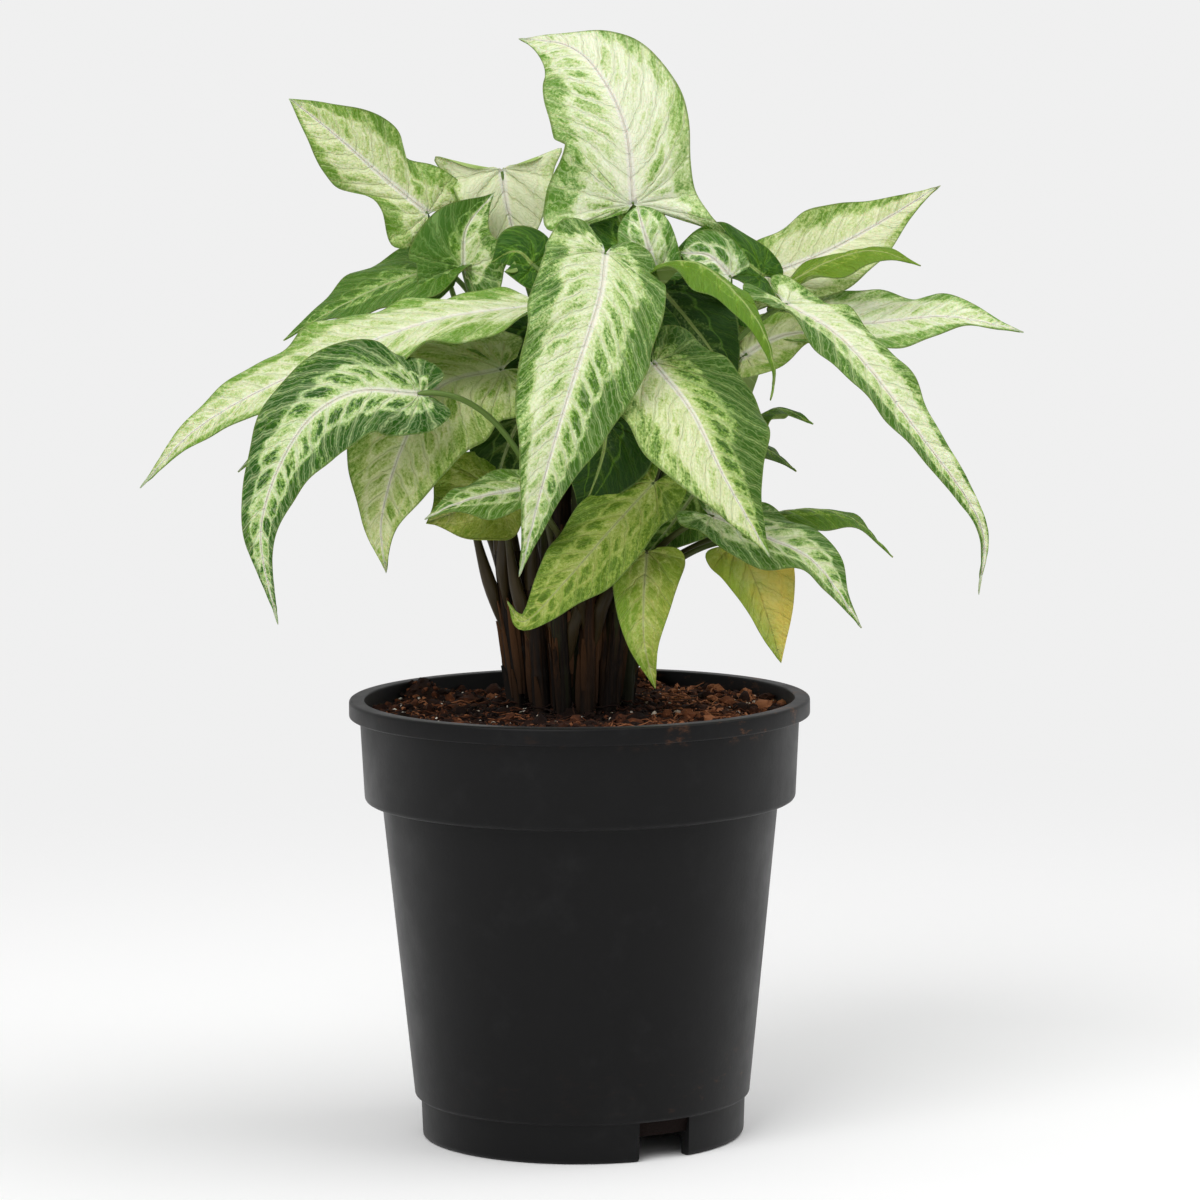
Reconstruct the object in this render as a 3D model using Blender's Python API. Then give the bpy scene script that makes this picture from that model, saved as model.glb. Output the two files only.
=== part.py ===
"""Potted syngonium: an arrowhead vine in a 13 cm nursery pot.

Each sub-part is one closed solid in metres, +Z up. The origin is on the axis of the pot,
in the plane of the foot, and the side of the plant that is usually shown faces -Y.
"""

import math

import bmesh
import bpy
import numpy as np

# ---------------------------------------------------------------- driving dimensions
MM = 0.001                 # lengths below are in millimetres

SEGMENTS = 48              # sides of every turned piece
POT_HEIGHT = 124.5
LIP_RADIUS = 65.0
LIP_HEIGHT = 4.8
LIP_OVERHANG = 3.0         # how far the lip stands out from the band
BAND_FOOT_RADIUS = 60.8    # bottom of the tall band below the lip
BAND_BOTTOM = 95.8
BODY_TOP_RADIUS = 56.0
BODY_FOOT_RADIUS = 47.5
FOOT_HEIGHT = 11.6         # height of the recessed foot ring
FOOT_RADIUS = 46.2
FOOT_CORNER = 2.2          # rounding where the foot meets the ground
WALL = 1.3
FLOOR_UNDERSIDE = 5.0
FLOOR_TOP = 6.6

NOTCH_WIDTH = 16.0         # drain notches in the foot ring
NOTCH_HEIGHT = 11.2
NOTCH_DEPTH = 12.0
NOTCH_ANGLES = (30.0, 150.0, 270.0)     # degrees to the right of the front

GAP = 0.3                  # clearance between pieces that touch
SOIL_LEVEL = 119.6
SOIL_MOUND = 2.6           # how much higher the soil stands round the stems
SOIL_MOUND_SPREAD = 30.0
SOIL_CLODS = (             # x, y, height, spread
    (-6, -56, 4.2, 17),
    (-45, 36, 5.5, 6),
    (16, 54, 4.0, 7),
    (42, 24, 1.2, 14),
)
SOIL_RINGS = 7
CROWN = (-3.0, 0.0)        # middle of the clump of stems

SOCKET_CLEARANCE = 1.5 * GAP            # between the flats of a cane and its socket

CANE_SIDES = 8
CANE_DEPTH = 16.0          # how deep a cane is planted
CANE_TAPER = ((0.4, 1.0), (0.7, 1.0), (0.97, 0.98), (1.0, 0.9))     # (share of height, radius)
LEAF_THICKNESS = 0.7
LEAF_ROWS = 8
LEAF_COLUMNS = 2           # across one half of the blade
PETIOLE_SIDES = 5
PETIOLE_RINGS = 7
PETIOLE_RADII = (1.0, 0.75)             # at the cane and at the blade
PETIOLE_STEP = 0.13        # drop from one petiole to the next, in shares of the cane
PETIOLE_LEAN = 0.35        # how much a side petiole leans out where it leaves the cane
PETIOLE_EASE = (0.42, 0.30)             # straight runs at the cane and at the blade, in shares
CURVE_STEPS = 24           # points worked out between two given points of a smooth line
MIDRIB_STEPS = 60

# Canes: name, foot (x, y) at soil level, top (x, y, z), radius.
CANES = (
    ("cane_left_front", (-10.5, -9.5), (-13.0, -13.0, 158.0), 2.5),
    ("cane_front_left", (-4.5, -13.0), (-5.5, -17.5, 155.0), 2.4),
    ("cane_front_right", (2.0, -12.0), (3.0, -16.0, 162.0), 2.6),
    ("cane_right_front", (8.0, -8.5), (11.0, -11.5, 158.0), 2.5),
    ("cane_left", (-17.5, -3.5), (-21.5, -5.0, 167.0), 2.3),
    ("cane_inner_left", (-7.5, -3.0), (-10.0, -2.0, 178.0), 2.5),
    ("cane_inner_front", (0.0, -5.0), (0.5, -6.5, 184.0), 2.5),
    ("cane_right", (12.6, -1.5), (16.5, -2.0, 164.0), 2.4),
    ("cane_inner_right", (6.0, -1.5), (8.0, 0.5, 186.0), 2.5),
    ("cane_back_left", (-12.5, 4.0), (-18.0, 9.0, 165.0), 2.4),
    ("cane_inner_back", (-4.0, 4.5), (-4.5, 8.5, 188.0), 2.5),
    ("cane_back_right", (9.5, 6.0), (14.5, 12.0, 168.0), 2.4),
    ("cane_back", (2.5, 9.5), (3.0, 17.0, 170.0), 2.4),
)

# Leaves. Each row: name, cane, line of the midrib from the petiole to the tip,
# (width, length of the basal lobes, taper, flare of the lobes), the way the upper side
# faces at the petiole, (fold along the midrib, twist towards the tip, rise) in degrees.
# A taper over 1 brings the widest place nearer the petiole. The rise is the angle between
# the petiole and the blade: 0 is in line with it, and 90 is square to its back.
LEAVES = (
    ("leaf_top_upright", "cane_inner_right",
     ((16, 2, 263), (14, 3, 284), (7, 8, 299), (-2, 18, 307), (-16, 28, 309)),
     (37, 14, 1.0, 1.5), (0.0, -1.0, 0.2), (8, 0, 50)),
    ("leaf_upper_left", "cane_back_left",
     ((-54, 20, 271), (-65, 16, 280), (-73, 12, 288), (-80, 8, 293)),
     (24, 24, 1.0, 1.2), (0.3, -0.9, 0.3), (10, 0, 50)),
    ("leaf_left_long", "cane_inner_left",
     ((-10, -12, 236), (-41, -20, 232), (-76, -25, 219), (-104, -22, 204), (-122, -15, 186)),
     (34, 12, 1.0, 1.0), (0.0, -0.12, 1.0), (6, -45, 50)),
    ("leaf_left_edge", "cane_left",
     ((-52, 22, 241), (-62, 20, 238), (-72, 17, 233), (-83, 14, 225)),
     (16, 4, 1.0, 1.0), (0.1, 0.1, 1.0), (8, 0, 50)),
    ("leaf_left_hanging", "cane_front_left",
     ((-43, -43, 214), (-61, -51, 215), (-76, -54, 204), (-86, -55, 179), (-82, -53, 152)),
     (29, 8, 1.3, 0.9), (-0.15, -0.85, 0.5), (8, 0, -20)),
    ("leaf_left_upright", "cane_inner_back",
     ((-32, 16, 245), (-31, 17, 256), (-23, 19, 266)),
     (32, 10, 1.6, 1.1), (-0.2, -0.95, 0.2), (22, 0, 50)),
    ("leaf_lower_left", "cane_left",
     ((-21, -10, 218), (-38, -20, 214), (-48, -30, 199), (-54, -35, 179), (-53, -36, 164)),
     (44, 12, 1.0, 1.0), (-0.2, -0.7, 0.7), (6, 0, 50)),
    ("leaf_left_behind", "cane_left",
     ((-46, -4, 208), (-66, -8, 206), (-83, -10, 199), (-95, -10, 190)),
     (26, 10, 1.0, 1.0), (0.0, -0.3, 1.0), (10, 0, 30)),
    ("leaf_front_centre", "cane_inner_front",
     ((8, -24, 251), (6, -46, 239), (-2, -62, 216), (-9, -68, 193), (-16, -66, 166)),
     (38, 10, 1.0, 0.9), (0.4, -0.5, 0.8), (8, -18, 50)),
    ("leaf_front_right", "cane_left_front",
     ((21, -32, 221), (31, -46, 209), (40, -54, 191), (52, -56, 170)),
     (42, 12, 1.0, 1.0), (0.2, -0.6, 0.8), (8, 0, 40)),
    ("leaf_lower_centre", "cane_front_right",
     ((21, -20, 187), (9, -29, 175), (-4, -35, 161), (-15, -33, 150), (-20, -26, 155)),
     (24, 7, 1.0, 1.0), (-0.3, -0.9, 0.3), (6, 0, 50)),
    ("leaf_arched", "cane_inner_right",
     ((30, -10, 240), (38, -26, 245), (45, -38, 238), (52, -43, 226), (51, -41, 212)),
     (26, 5, 1.0, 0.7), (0.0, 0.5, 1.0), (-14, 0, 40)),
    ("leaf_right_long", "cane_right",
     ((58, -13, 236), (74, -30, 226), (94, -40, 201), (110, -42, 177), (110, -38, 157)),
     (20, 12, 1.5, 1.2), (0.3, -0.5, 0.9), (16, 40, 40)),
    ("leaf_right_level", "cane_back_right",
     ((63, 8, 229), (82, 6, 229), (104, 2, 231), (125, -2, 227)),
     (29, 10, 1.0, 1.0), (0.0, -0.6, 1.0), (8, 0, 30)),
    ("leaf_right_upper", "cane_back_right",
     ((54, 18, 242), (70, 20, 248), (87, 22, 257), (103, 20, 267)),
     (26, 11, 1.0, 1.0), (-0.3, -0.9, 0.4), (8, 0, 40)),
    ("leaf_right_narrow", "cane_inner_right",
     ((60, 6, 241), (71, 1, 245), (83, -3, 248), (96, -6, 245)),
     (16, 5, 1.0, 1.0), (0.0, 0.1, 1.0), (35, 0, 40)),
    ("leaf_right_small", "cane_right",
     ((46, 2, 201), (56, -2, 206), (66, -6, 202)),
     (17, 6, 1.0, 1.0), (0.0, 0.2, 1.0), (10, 0, 30)),
    ("leaf_right_pointed", "cane_back",
     ((43, 22, 195), (52, 17, 194), (62, 12, 187)),
     (17, 6, 1.0, 1.0), (0.0, 0.2, 1.0), (10, 0, 30)),
    ("leaf_low_right_back", "cane_right",
     ((46, -3, 174), (61, -7, 178), (76, -10, 176), (88, -12, 165)),
     (22, 8, 1.0, 1.0), (0.0, 0.5, 0.9), (8, 0, 20)),
    ("leaf_low_right_front", "cane_right_front",
     ((37, -24, 178), (51, -32, 173), (65, -36, 166), (78, -36, 148)),
     (24, 8, 1.0, 1.0), (0.2, -0.6, 0.8), (10, 0, 30)),
    ("leaf_yellowing", "cane_right_front",
     ((44, -14, 169), (48, -20, 162), (52, -25, 151), (56, -26, 137)),
     (24, 6, 1.0, 1.0), (0.1, -1.0, 0.2), (6, 0, 30)),
    ("leaf_low_centre", "cane_front_right",
     ((19, -22, 168), (18, -29, 157), (18, -34, 144), (21, -34, 131)),
     (22, 6, 1.0, 1.0), (0.1, -1.0, 0.2), (6, 4, 50)),
    ("leaf_inner_left", "cane_front_right",
     ((-14, -36, 187), (-24, -41, 186), (-33, -45, 184), (-42, -46, 180)),
     (18, 8, 1.0, 1.0), (-0.1, -0.6, 0.8), (10, 0, 50)),
    ("leaf_inner_hanging", "cane_left_front",
     ((-24, -18, 185), (-33, -23, 180), (-42, -27, 177)),
     (32, 6, 1.0, 1.0), (-0.2, -0.9, 0.4), (6, 0, 40)),
    ("leaf_back_pale", "cane_inner_back",
     ((-21, 28, 272), (-20, 26, 264), (-18, 25, 255), (-16, 25, 246)),
     (30, 8, 1.4, 1.0), (0.1, -1.0, 0.1), (6, 0, 160)),
    ("leaf_inner_dark", "cane_inner_left",
     ((-12, 5, 246), (-17, 6, 250), (-24, 5, 247)),
     (18, 6, 1.0, 1.0), (0.3, -0.9, 0.4), (8, 0, 0)),
    ("leaf_small_grey", "cane_inner_front",
     ((15, -12, 242), (19, -13, 251), (22, -11, 258), (24, -5, 257)),
     (15, 5, 1.0, 1.0), (0.0, -1.0, 0.1), (8, 0, 50)),
    ("leaf_dark_right", "cane_inner_right",
     ((52, 4, 243), (44, 1, 249), (35, -3, 252), (26, -5, 249)),
     (18, 6, 1.0, 1.0), (0.0, -0.7, 0.7), (8, 0, 50)),
    ("leaf_inner_low", "cane_right_front",
     ((33, -5, 183), (26, -9, 174), (17, -13, 164)),
     (20, 6, 1.0, 1.0), (-0.2, -0.9, 0.3), (6, 0, 40)),
    ("leaf_centre_shaded", "cane_inner_front",
     ((19, -9, 231), (21, -12, 226), (21, -14, 219), (18, -14, 210)),
     (18, 4, 1.0, 1.0), (0.1, -1.0, 0.3), (8, 0, 40)),
    ("leaf_low_shaded", "cane_inner_front",
     ((15, -10, 207), (9, -13, 205), (3, -14, 200), (-1, -13, 192)),
     (22, 6, 1.0, 1.0), (0.1, -1.0, 0.4), (8, 0, 40)),
    ("leaf_under_arch", "cane_inner_back",
     ((28, 4, 234), (36, 1, 236), (45, -2, 233), (53, -4, 226)),
     (13, 4, 1.0, 1.0), (0.0, -1.0, 0.3), (8, 0, 40)),
    ("leaf_behind_left", "cane_back_left",
     ((-27, 37, 212), (-43, 50, 212), (-56, 60, 204), (-64, 69, 190)),
     (32, 10, 1.0, 1.0), (-0.2, 0.3, 1.0), (8, 0, 30)),
    ("leaf_behind_centre", "cane_back",
     ((0, 32, 226), (-3, 53, 226), (-5, 68, 212), (-6, 75, 188)),
     (38, 14, 1.0, 1.0), (0.0, 0.3, 1.0), (8, 0, 50)),
    ("leaf_behind_right", "cane_back",
     ((24, 34, 218), (37, 51, 220), (45, 63, 211), (49, 71, 194)),
     (32, 12, 1.0, 1.0), (0.2, 0.3, 1.0), (8, 0, 30)),
    ("leaf_behind_low", "cane_back",
     ((4, 34, 176), (8, 50, 175), (12, 62, 166), (14, 69, 150)),
     (30, 10, 1.0, 1.0), (0.0, 0.3, 1.0), (8, 0, 20)),
    ("leaf_behind_low_left", "cane_back_left",
     ((-34, 19, 184), (-44, 34, 187), (-50, 46, 182), (-52, 55, 171)),
     (26, 10, 1.0, 1.0), (-0.2, 0.3, 1.0), (8, 0, 20)),
)

# Half of the flat blade, from the notch at the petiole round the basal lobe to the tip.
# Forward is in shares of the blade's length, or of the lobe's where it is negative,
# and outward is in shares of half the width.
BLADE_OUTLINE = (
    (-0.55, 0.12), (-1.0, 0.42), (-0.70, 0.70), (0.02, 0.86), (0.18, 0.97), (0.34, 1.0),
    (0.50, 0.86), (0.65, 0.60), (0.79, 0.31), (0.91, 0.11), (1.0, 0.0),
)
VEIN_SLANT = 0.55          # how far a side vein runs forward for each unit outward
EDGE_DROOP = 0.10          # how far the margin bends down, in shares of half the width

COLOURS = {
    "black_polypropylene": ((0.013, 0.014, 0.015), 0.45),
    "potting_soil": ((0.035, 0.016, 0.010), 0.95),
    "stem_brown": ((0.060, 0.030, 0.014), 0.75),
    "leaf_green": ((0.300, 0.480, 0.180), 0.50),
}


# ---------------------------------------------------------------- small helpers
def clear_scene():
    for item in list(bpy.data.objects):
        bpy.data.objects.remove(item, do_unlink=True)


def material(name):
    """The Principled material of one substance, made once."""
    found = bpy.data.materials.get(name)
    if found:
        return found
    colour, roughness = COLOURS[name]
    made = bpy.data.materials.new(name)
    made.use_nodes = True
    shader = made.node_tree.nodes["Principled BSDF"]
    shader.inputs["Base Color"].default_value = (*colour, 1.0)
    shader.inputs["Roughness"].default_value = roughness
    shader.inputs["Metallic"].default_value = 0.0
    return made


def add_object(name, points, faces, substance, smooth=True):
    """A mesh object from points in millimetres."""
    mesh = bpy.data.meshes.new(name)
    mesh.from_pydata([tuple(float(c) * MM for c in p) for p in points], [], faces)
    mesh.update()
    made = bpy.data.objects.new(name, mesh)
    bpy.context.collection.objects.link(made)
    mesh.materials.append(material(substance))
    if smooth:
        mesh.shade_smooth()
        mesh.set_sharp_from_angle(angle=math.radians(35))
    return made


def add_cutter(name, points, faces, target):
    """A hidden solid that is taken out of the target."""
    cutter = add_object(name, points, faces, "potting_soil", smooth=False)
    cutter.hide_render = True
    cutter.display_type = "WIRE"
    cut = target.modifiers.new(name, "BOOLEAN")
    cut.operation = "DIFFERENCE"
    cut.object = cutter


def turned(profile, segments=SEGMENTS):
    """Points and faces of a closed profile of (radius, height) turned about the Z axis.

    The profile runs with the material on its left, and a radius of zero is a pole.
    """
    points, rings = [], []
    for radius, height in profile:
        if radius == 0:
            rings.append([len(points)] * segments)
            points.append((0.0, 0.0, height))
            continue
        rings.append(list(range(len(points), len(points) + segments)))
        for step in range(segments):
            angle = 2 * math.pi * step / segments
            points.append((radius * math.cos(angle), radius * math.sin(angle), height))
    faces = []
    for low, high in zip(rings, rings[1:] + rings[:1]):
        if low[0] == low[1] and high[0] == high[1]:
            continue
        for step in range(segments):
            after = (step + 1) % segments
            corners = [low[step], low[after], high[after], high[step]]
            faces.append(list(dict.fromkeys(corners)))
    return points, faces


def tube(centres, radii, sides):
    """Points and faces of a closed tube along a line of centres."""
    centres = np.asarray(centres, float)
    tangents = np.gradient(centres, axis=0)
    tangents /= np.linalg.norm(tangents, axis=1)[:, None]
    across = np.cross(tangents[0], (0.0, 1.0, 0.0))
    points, faces = [], []
    for centre, tangent, radius in zip(centres, tangents, radii):
        across = across - tangent * np.dot(across, tangent)
        across /= np.linalg.norm(across)
        other = np.cross(tangent, across)
        for step in range(sides):
            angle = 2 * math.pi * step / sides
            points.append(centre + radius * (math.cos(angle) * across + math.sin(angle) * other))
    for ring in range(len(centres) - 1):
        for step in range(sides):
            after = (step + 1) % sides
            low, high = ring * sides, (ring + 1) * sides
            faces.append([low + step, low + after, high + after, high + step])
    last = (len(centres) - 1) * sides
    faces.append(list(range(sides))[::-1])
    faces.append(list(range(last, last + sides)))
    return points, faces


def smooth_line(points, count):
    """Points at even distances along a smooth curve through the given points."""
    points = np.asarray(points, float)
    ends = np.vstack([2 * points[0] - points[1], points, 2 * points[-1] - points[-2]])
    fine = []
    for index in range(len(points) - 1):
        before, start, end, after = ends[index:index + 4]
        for t in np.linspace(0, 1, CURVE_STEPS, endpoint=False):
            fine.append(0.5 * (2 * start + (end - before) * t
                               + (2 * before - 5 * start + 4 * end - after) * t ** 2
                               + (3 * start - before - 3 * end + after) * t ** 3))
    fine = np.vstack([fine, points[-1]])
    along = np.concatenate([[0], np.cumsum(np.linalg.norm(np.diff(fine, axis=0), axis=1))])
    wanted = np.linspace(0, along[-1], count)
    line = np.stack([np.interp(wanted, along, fine[:, axis]) for axis in range(3)], axis=1)
    return line, along[-1]


def unit(vector):
    vector = np.asarray(vector, float)
    return vector / np.linalg.norm(vector)


# ---------------------------------------------------------------- pot
def pot_outer_profile():
    """Outside of the pot from the ground to the top of the lip."""
    band_top = LIP_RADIUS - LIP_OVERHANG
    lip_bottom = POT_HEIGHT - LIP_HEIGHT
    points = []
    for step in range(4):
        angle = math.radians(30 * step)
        points.append((FOOT_RADIUS - 0.4 - FOOT_CORNER * (1 - math.sin(angle)),
                       FOOT_CORNER * (1 - math.cos(angle))))
    points += [
        (FOOT_RADIUS, FOOT_HEIGHT - 0.5),
        (BODY_FOOT_RADIUS, FOOT_HEIGHT + 0.2),
        (BODY_TOP_RADIUS, BAND_BOTTOM),
        (BAND_FOOT_RADIUS - 1.6, BAND_BOTTOM),
        (BAND_FOOT_RADIUS - 0.4, BAND_BOTTOM + 0.6),
        (BAND_FOOT_RADIUS, BAND_BOTTOM + 2.0),
        (band_top, lip_bottom),
        (LIP_RADIUS - 0.5, lip_bottom),
        (LIP_RADIUS, lip_bottom + 0.5),
        (LIP_RADIUS, POT_HEIGHT - 0.6),
        (LIP_RADIUS - 0.6, POT_HEIGHT),
    ]
    return points


def pot_inner_profile():
    """Inside of the pot from the top of the lip down to the middle of the floor."""
    band_top = LIP_RADIUS - LIP_OVERHANG
    return [
        (band_top - WALL + 0.4, POT_HEIGHT),
        (band_top - WALL, POT_HEIGHT - 0.4),
        (BAND_FOOT_RADIUS - WALL, BAND_BOTTOM + 0.6),
        (BODY_TOP_RADIUS - WALL, BAND_BOTTOM - WALL),
        (BODY_FOOT_RADIUS - WALL, FOOT_HEIGHT + 1.0),
        (FOOT_RADIUS - WALL - 0.6, FLOOR_TOP),
        (0.0, FLOOR_TOP),
    ]


def build_pot():
    """Moulded pot: lip, band, tapered body and a recessed foot ring under a raised floor."""
    profile = pot_outer_profile() + pot_inner_profile() + [
        (0.0, FLOOR_UNDERSIDE),
        (FOOT_RADIUS - FOOT_CORNER - 1.9, FLOOR_UNDERSIDE),
        (FOOT_RADIUS - FOOT_CORNER - 2.2, 0.0),
    ]
    pot = add_object("pot", *turned(profile), "black_polypropylene")
    for number, angle in enumerate(NOTCH_ANGLES):
        turn = math.radians(angle - 90)
        outward = np.array((math.cos(turn), math.sin(turn), 0.0))
        sideways = np.array((-math.sin(turn), math.cos(turn), 0.0))
        corners = []
        for height in (-2.0, NOTCH_HEIGHT):
            for reach, side in ((-NOTCH_DEPTH, -1), (4, -1), (4, 1), (-NOTCH_DEPTH, 1)):
                corners.append((FOOT_RADIUS + reach) * outward
                               + side * NOTCH_WIDTH / 2 * sideways + (0, 0, height))
        faces = [(3, 2, 1, 0), (4, 5, 6, 7), (0, 1, 5, 4), (1, 2, 6, 5), (2, 3, 7, 6), (3, 0, 4, 7)]
        add_cutter(f"drain_notch_cutter_{number + 1}", corners, faces, pot)
    return pot


# ---------------------------------------------------------------- soil
def soil_height(x, y):
    """Level of the soil: a low mound at the stems, clods, and crumbs pushed against the rim."""
    radius = math.hypot(x - CROWN[0], y - CROWN[1])
    level = SOIL_LEVEL + SOIL_MOUND * math.exp(-(radius / SOIL_MOUND_SPREAD) ** 2)
    level += 0.5 * math.sin(0.21 * x + 1.0) * math.cos(0.17 * y)
    level += 0.3 * math.sin(0.34 * y + 0.2 * x)
    for cx, cy, height, spread in SOIL_CLODS:
        level += height * math.exp(-((x - cx) ** 2 + (y - cy) ** 2) / spread ** 2)
    return level


def build_soil():
    """Soil that fills the pot, with a socket round each cane."""
    inside = pot_inner_profile()
    corners = [inside[5], inside[4], inside[3], inside[2]]
    side = [(0.0, FLOOR_TOP + GAP)]
    side += [(radius - GAP, height + GAP) for radius, height in corners]
    edge = LIP_RADIUS - LIP_OVERHANG - WALL - 2 * GAP
    side.append((edge - 0.2, SOIL_LEVEL - 3))
    rings = [(edge * (SOIL_RINGS - step) / SOIL_RINGS, 0.0) for step in range(SOIL_RINGS)]
    points, faces = turned(side + rings + [(0.0, SOIL_LEVEL)])
    top = 1 + (len(side) - 1) * SEGMENTS
    for index in range(top, len(points)):
        x, y, _ = points[index]
        points[index] = (x, y, soil_height(x, y))
    soil = add_object("soil", points, faces, "potting_soil")
    sockets, socket_faces = [], []
    for _, foot, top_point, radius in CANES:
        planted, level, _ = cane_line(foot, top_point)
        ends = [planted - (0, 0, GAP), level + (0, 0, CANE_DEPTH)]
        more, more_faces = tube(ends, [radius + SOCKET_CLEARANCE] * 2, CANE_SIDES)
        socket_faces += [[corner + len(sockets) for corner in face] for face in more_faces]
        sockets += more
    add_cutter("cane_socket_cutter", sockets, socket_faces, soil)
    return soil


# ---------------------------------------------------------------- canes
def cane_line(foot, top):
    """Line of a cane: straight down in the soil, then leaning from the soil to its top."""
    level = np.array((*foot, soil_height(*foot)))
    return np.array([level - (0, 0, CANE_DEPTH), level, np.array(top, float)])


def build_cane(name, foot, top, radius):
    planted, level, top = cane_line(foot, top)
    centres = [planted, level + (0, 0, 1.0)]
    centres += [level + (top - level) * share for share, _ in CANE_TAPER]
    radii = [radius, radius] + [radius * scale for _, scale in CANE_TAPER]
    return add_object(name, *tube(centres, radii, CANE_SIDES), "stem_brown")


# ---------------------------------------------------------------- leaves
def blade_margin(length, shape, rows):
    """Evenly spaced (forward, outward) points round half of the flat blade."""
    width, lobe, taper, flare = shape
    outline = []
    for along, out in BLADE_OUTLINE:
        if along < 0:
            outline.append((along * lobe, out * flare * width / 2, 0.0))
        else:
            outline.append((along ** taper * length, out * width / 2, 0.0))
    return smooth_line(outline, rows)[0][:, :2]


def blade_frames(midrib, face, twist):
    """Tangent, upward normal and sideways direction along the midrib."""
    tangents = np.gradient(midrib, axis=0)
    tangents /= np.linalg.norm(tangents, axis=1)[:, None]
    normals, normal = [], np.asarray(face, float)
    for tangent in tangents:
        normal = unit(normal - tangent * np.dot(normal, tangent))
        normals.append(normal)
    normals = np.array(normals)
    sideways = np.cross(tangents, normals)
    turn = np.radians(twist) * np.linspace(0, 1, len(midrib))[:, None]
    return (tangents, normals * np.cos(turn) + sideways * np.sin(turn),
            sideways * np.cos(turn) - normals * np.sin(turn))


def blade_surface(midrib_points, shape, face, fold, twist, rows, columns):
    """Points and faces of the blade's middle surface, upper side outward."""
    midrib, length = smooth_line(midrib_points, MIDRIB_STEPS)
    tangents, normals, sideways = blade_frames(midrib, face, twist)
    stations = np.linspace(0, length, len(midrib))
    lift = math.radians(fold)
    half_width = shape[0] / 2

    def place(along, out, side):
        at = [np.interp(max(along, 0), stations, table[:, axis])
              for table in (midrib, normals, sideways) for axis in range(3)]
        origin, normal, across = np.array(at[:3]), np.array(at[3:6]), np.array(at[6:])
        origin = origin + tangents[0] * min(along, 0)
        rise = out * math.sin(lift) - EDGE_DROOP * out * out / half_width
        return origin + across * side * out * math.cos(lift) + normal * rise

    points, faces, index = [], [], {}

    def corner(along, out, side):
        key = (round(along, 4), round(out, 4), side if out > 1e-4 else 0)
        if key not in index:
            index[key] = len(points)
            points.append(place(along, out, side))
        return index[key]

    margin = blade_margin(length, shape, rows + 1)
    for side in (-1, 1):
        grid = []
        for along, out in margin:
            start = min(max(along - VEIN_SLANT * out, 0), length)
            grid.append([corner(start + (along - start) * share, out * share, side)
                         for share in np.linspace(0, 1, columns + 1)])
        for low, high in zip(grid, grid[1:]):
            for step in range(columns):
                face_corners = [low[step], low[step + 1], high[step + 1], high[step]]
                face_corners = list(dict.fromkeys(face_corners))
                if len(face_corners) > 2:
                    faces.append(face_corners if side > 0 else face_corners[::-1])
    return points, faces, normals[0], tangents[0]


def thickened(name, points, faces):
    """A closed blade from its middle surface."""
    mesh = bmesh.new()
    corners = [mesh.verts.new(p) for p in points]
    for face in faces:
        mesh.faces.new([corners[i] for i in face])
    mesh.normal_update()
    half = LEAF_THICKNESS / 2
    upper = [np.array(v.co) + np.array(v.normal) * half for v in corners]
    lower = [np.array(v.co) - np.array(v.normal) * half for v in corners]
    mesh.verts.index_update()
    open_loops = [edge.link_loops[0] for edge in mesh.edges if edge.is_boundary]
    rim = [(loop.vert.index, loop.link_loop_next.vert.index) for loop in open_loops]
    mesh.free()
    count = len(points)
    solid = [list(face) for face in faces]
    solid += [[i + count for i in reversed(face)] for face in faces]
    solid += [[b, a, a + count, b + count] for a, b in rim]
    return add_object(name, upper + lower, solid, "leaf_green")


def petiole_points(start, leaving, end, arrival):
    """Curve of the petiole: up from the cane, then round into the back of the blade."""
    reach = np.linalg.norm(end - start)
    first = start + leaving * PETIOLE_EASE[0] * reach
    second = end - arrival * PETIOLE_EASE[1] * reach
    shares = np.linspace(0, 1, PETIOLE_RINGS)[:, None]
    return ((1 - shares) ** 3 * start + 3 * (1 - shares) ** 2 * shares * first
            + 3 * (1 - shares) * shares ** 2 * second + shares ** 3 * end)


def build_leaf(name, root, midrib, shape, face, bend):
    """One leaf: blade and petiole grown together."""
    fold, twist, rise = bend
    points, faces, normal, forward = blade_surface(
        midrib, shape, face, fold, twist, LEAF_ROWS, LEAF_COLUMNS)
    blade = thickened(name, points, faces)
    start, leaving = root
    rise = math.radians(rise)
    arrival = math.cos(rise) * forward + math.sin(rise) * normal
    centres = petiole_points(start, leaving, np.array(midrib[0], float), arrival)
    radii = np.linspace(*PETIOLE_RADII, len(centres))
    stalk = add_object(name + "_petiole_joiner", *tube(centres, radii, PETIOLE_SIDES), "leaf_green")
    stalk.hide_render = True
    stalk.display_type = "WIRE"
    join = blade.modifiers.new("petiole", "BOOLEAN")
    join.operation = "UNION"
    join.object = stalk
    return blade


def petiole_roots():
    """Where each petiole starts on its cane, and its direction there.

    The highest leaf of a cane grows from its top, and the others leave its side below.
    """
    roots = {}
    up = np.array((0.0, 0.0, 1.0))
    for cane, foot, top, radius in CANES:
        _, level, top = cane_line(foot, top)
        carried = sorted((row for row in LEAVES if row[1] == cane), key=lambda row: -row[2][0][2])
        for place, row in enumerate(carried):
            if place == 0:
                roots[row[0]] = (top + 2 * GAP * up, unit(top - level))
                continue
            axis = top + (level - top) * PETIOLE_STEP * place
            outward = np.array(row[2][0], float) - axis
            outward = unit(outward * (1, 1, 0))
            start = axis + outward * (radius + PETIOLE_RADII[0] + GAP)
            roots[row[0]] = (start, unit(up + PETIOLE_LEAN * outward))
    return roots


def main():
    clear_scene()
    build_pot()
    build_soil()
    for cane in CANES:
        build_cane(*cane)
    roots = petiole_roots()
    for name, _, midrib, shape, face, bend in LEAVES:
        build_leaf(name, roots[name], midrib, shape, face, bend)


main()
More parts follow.
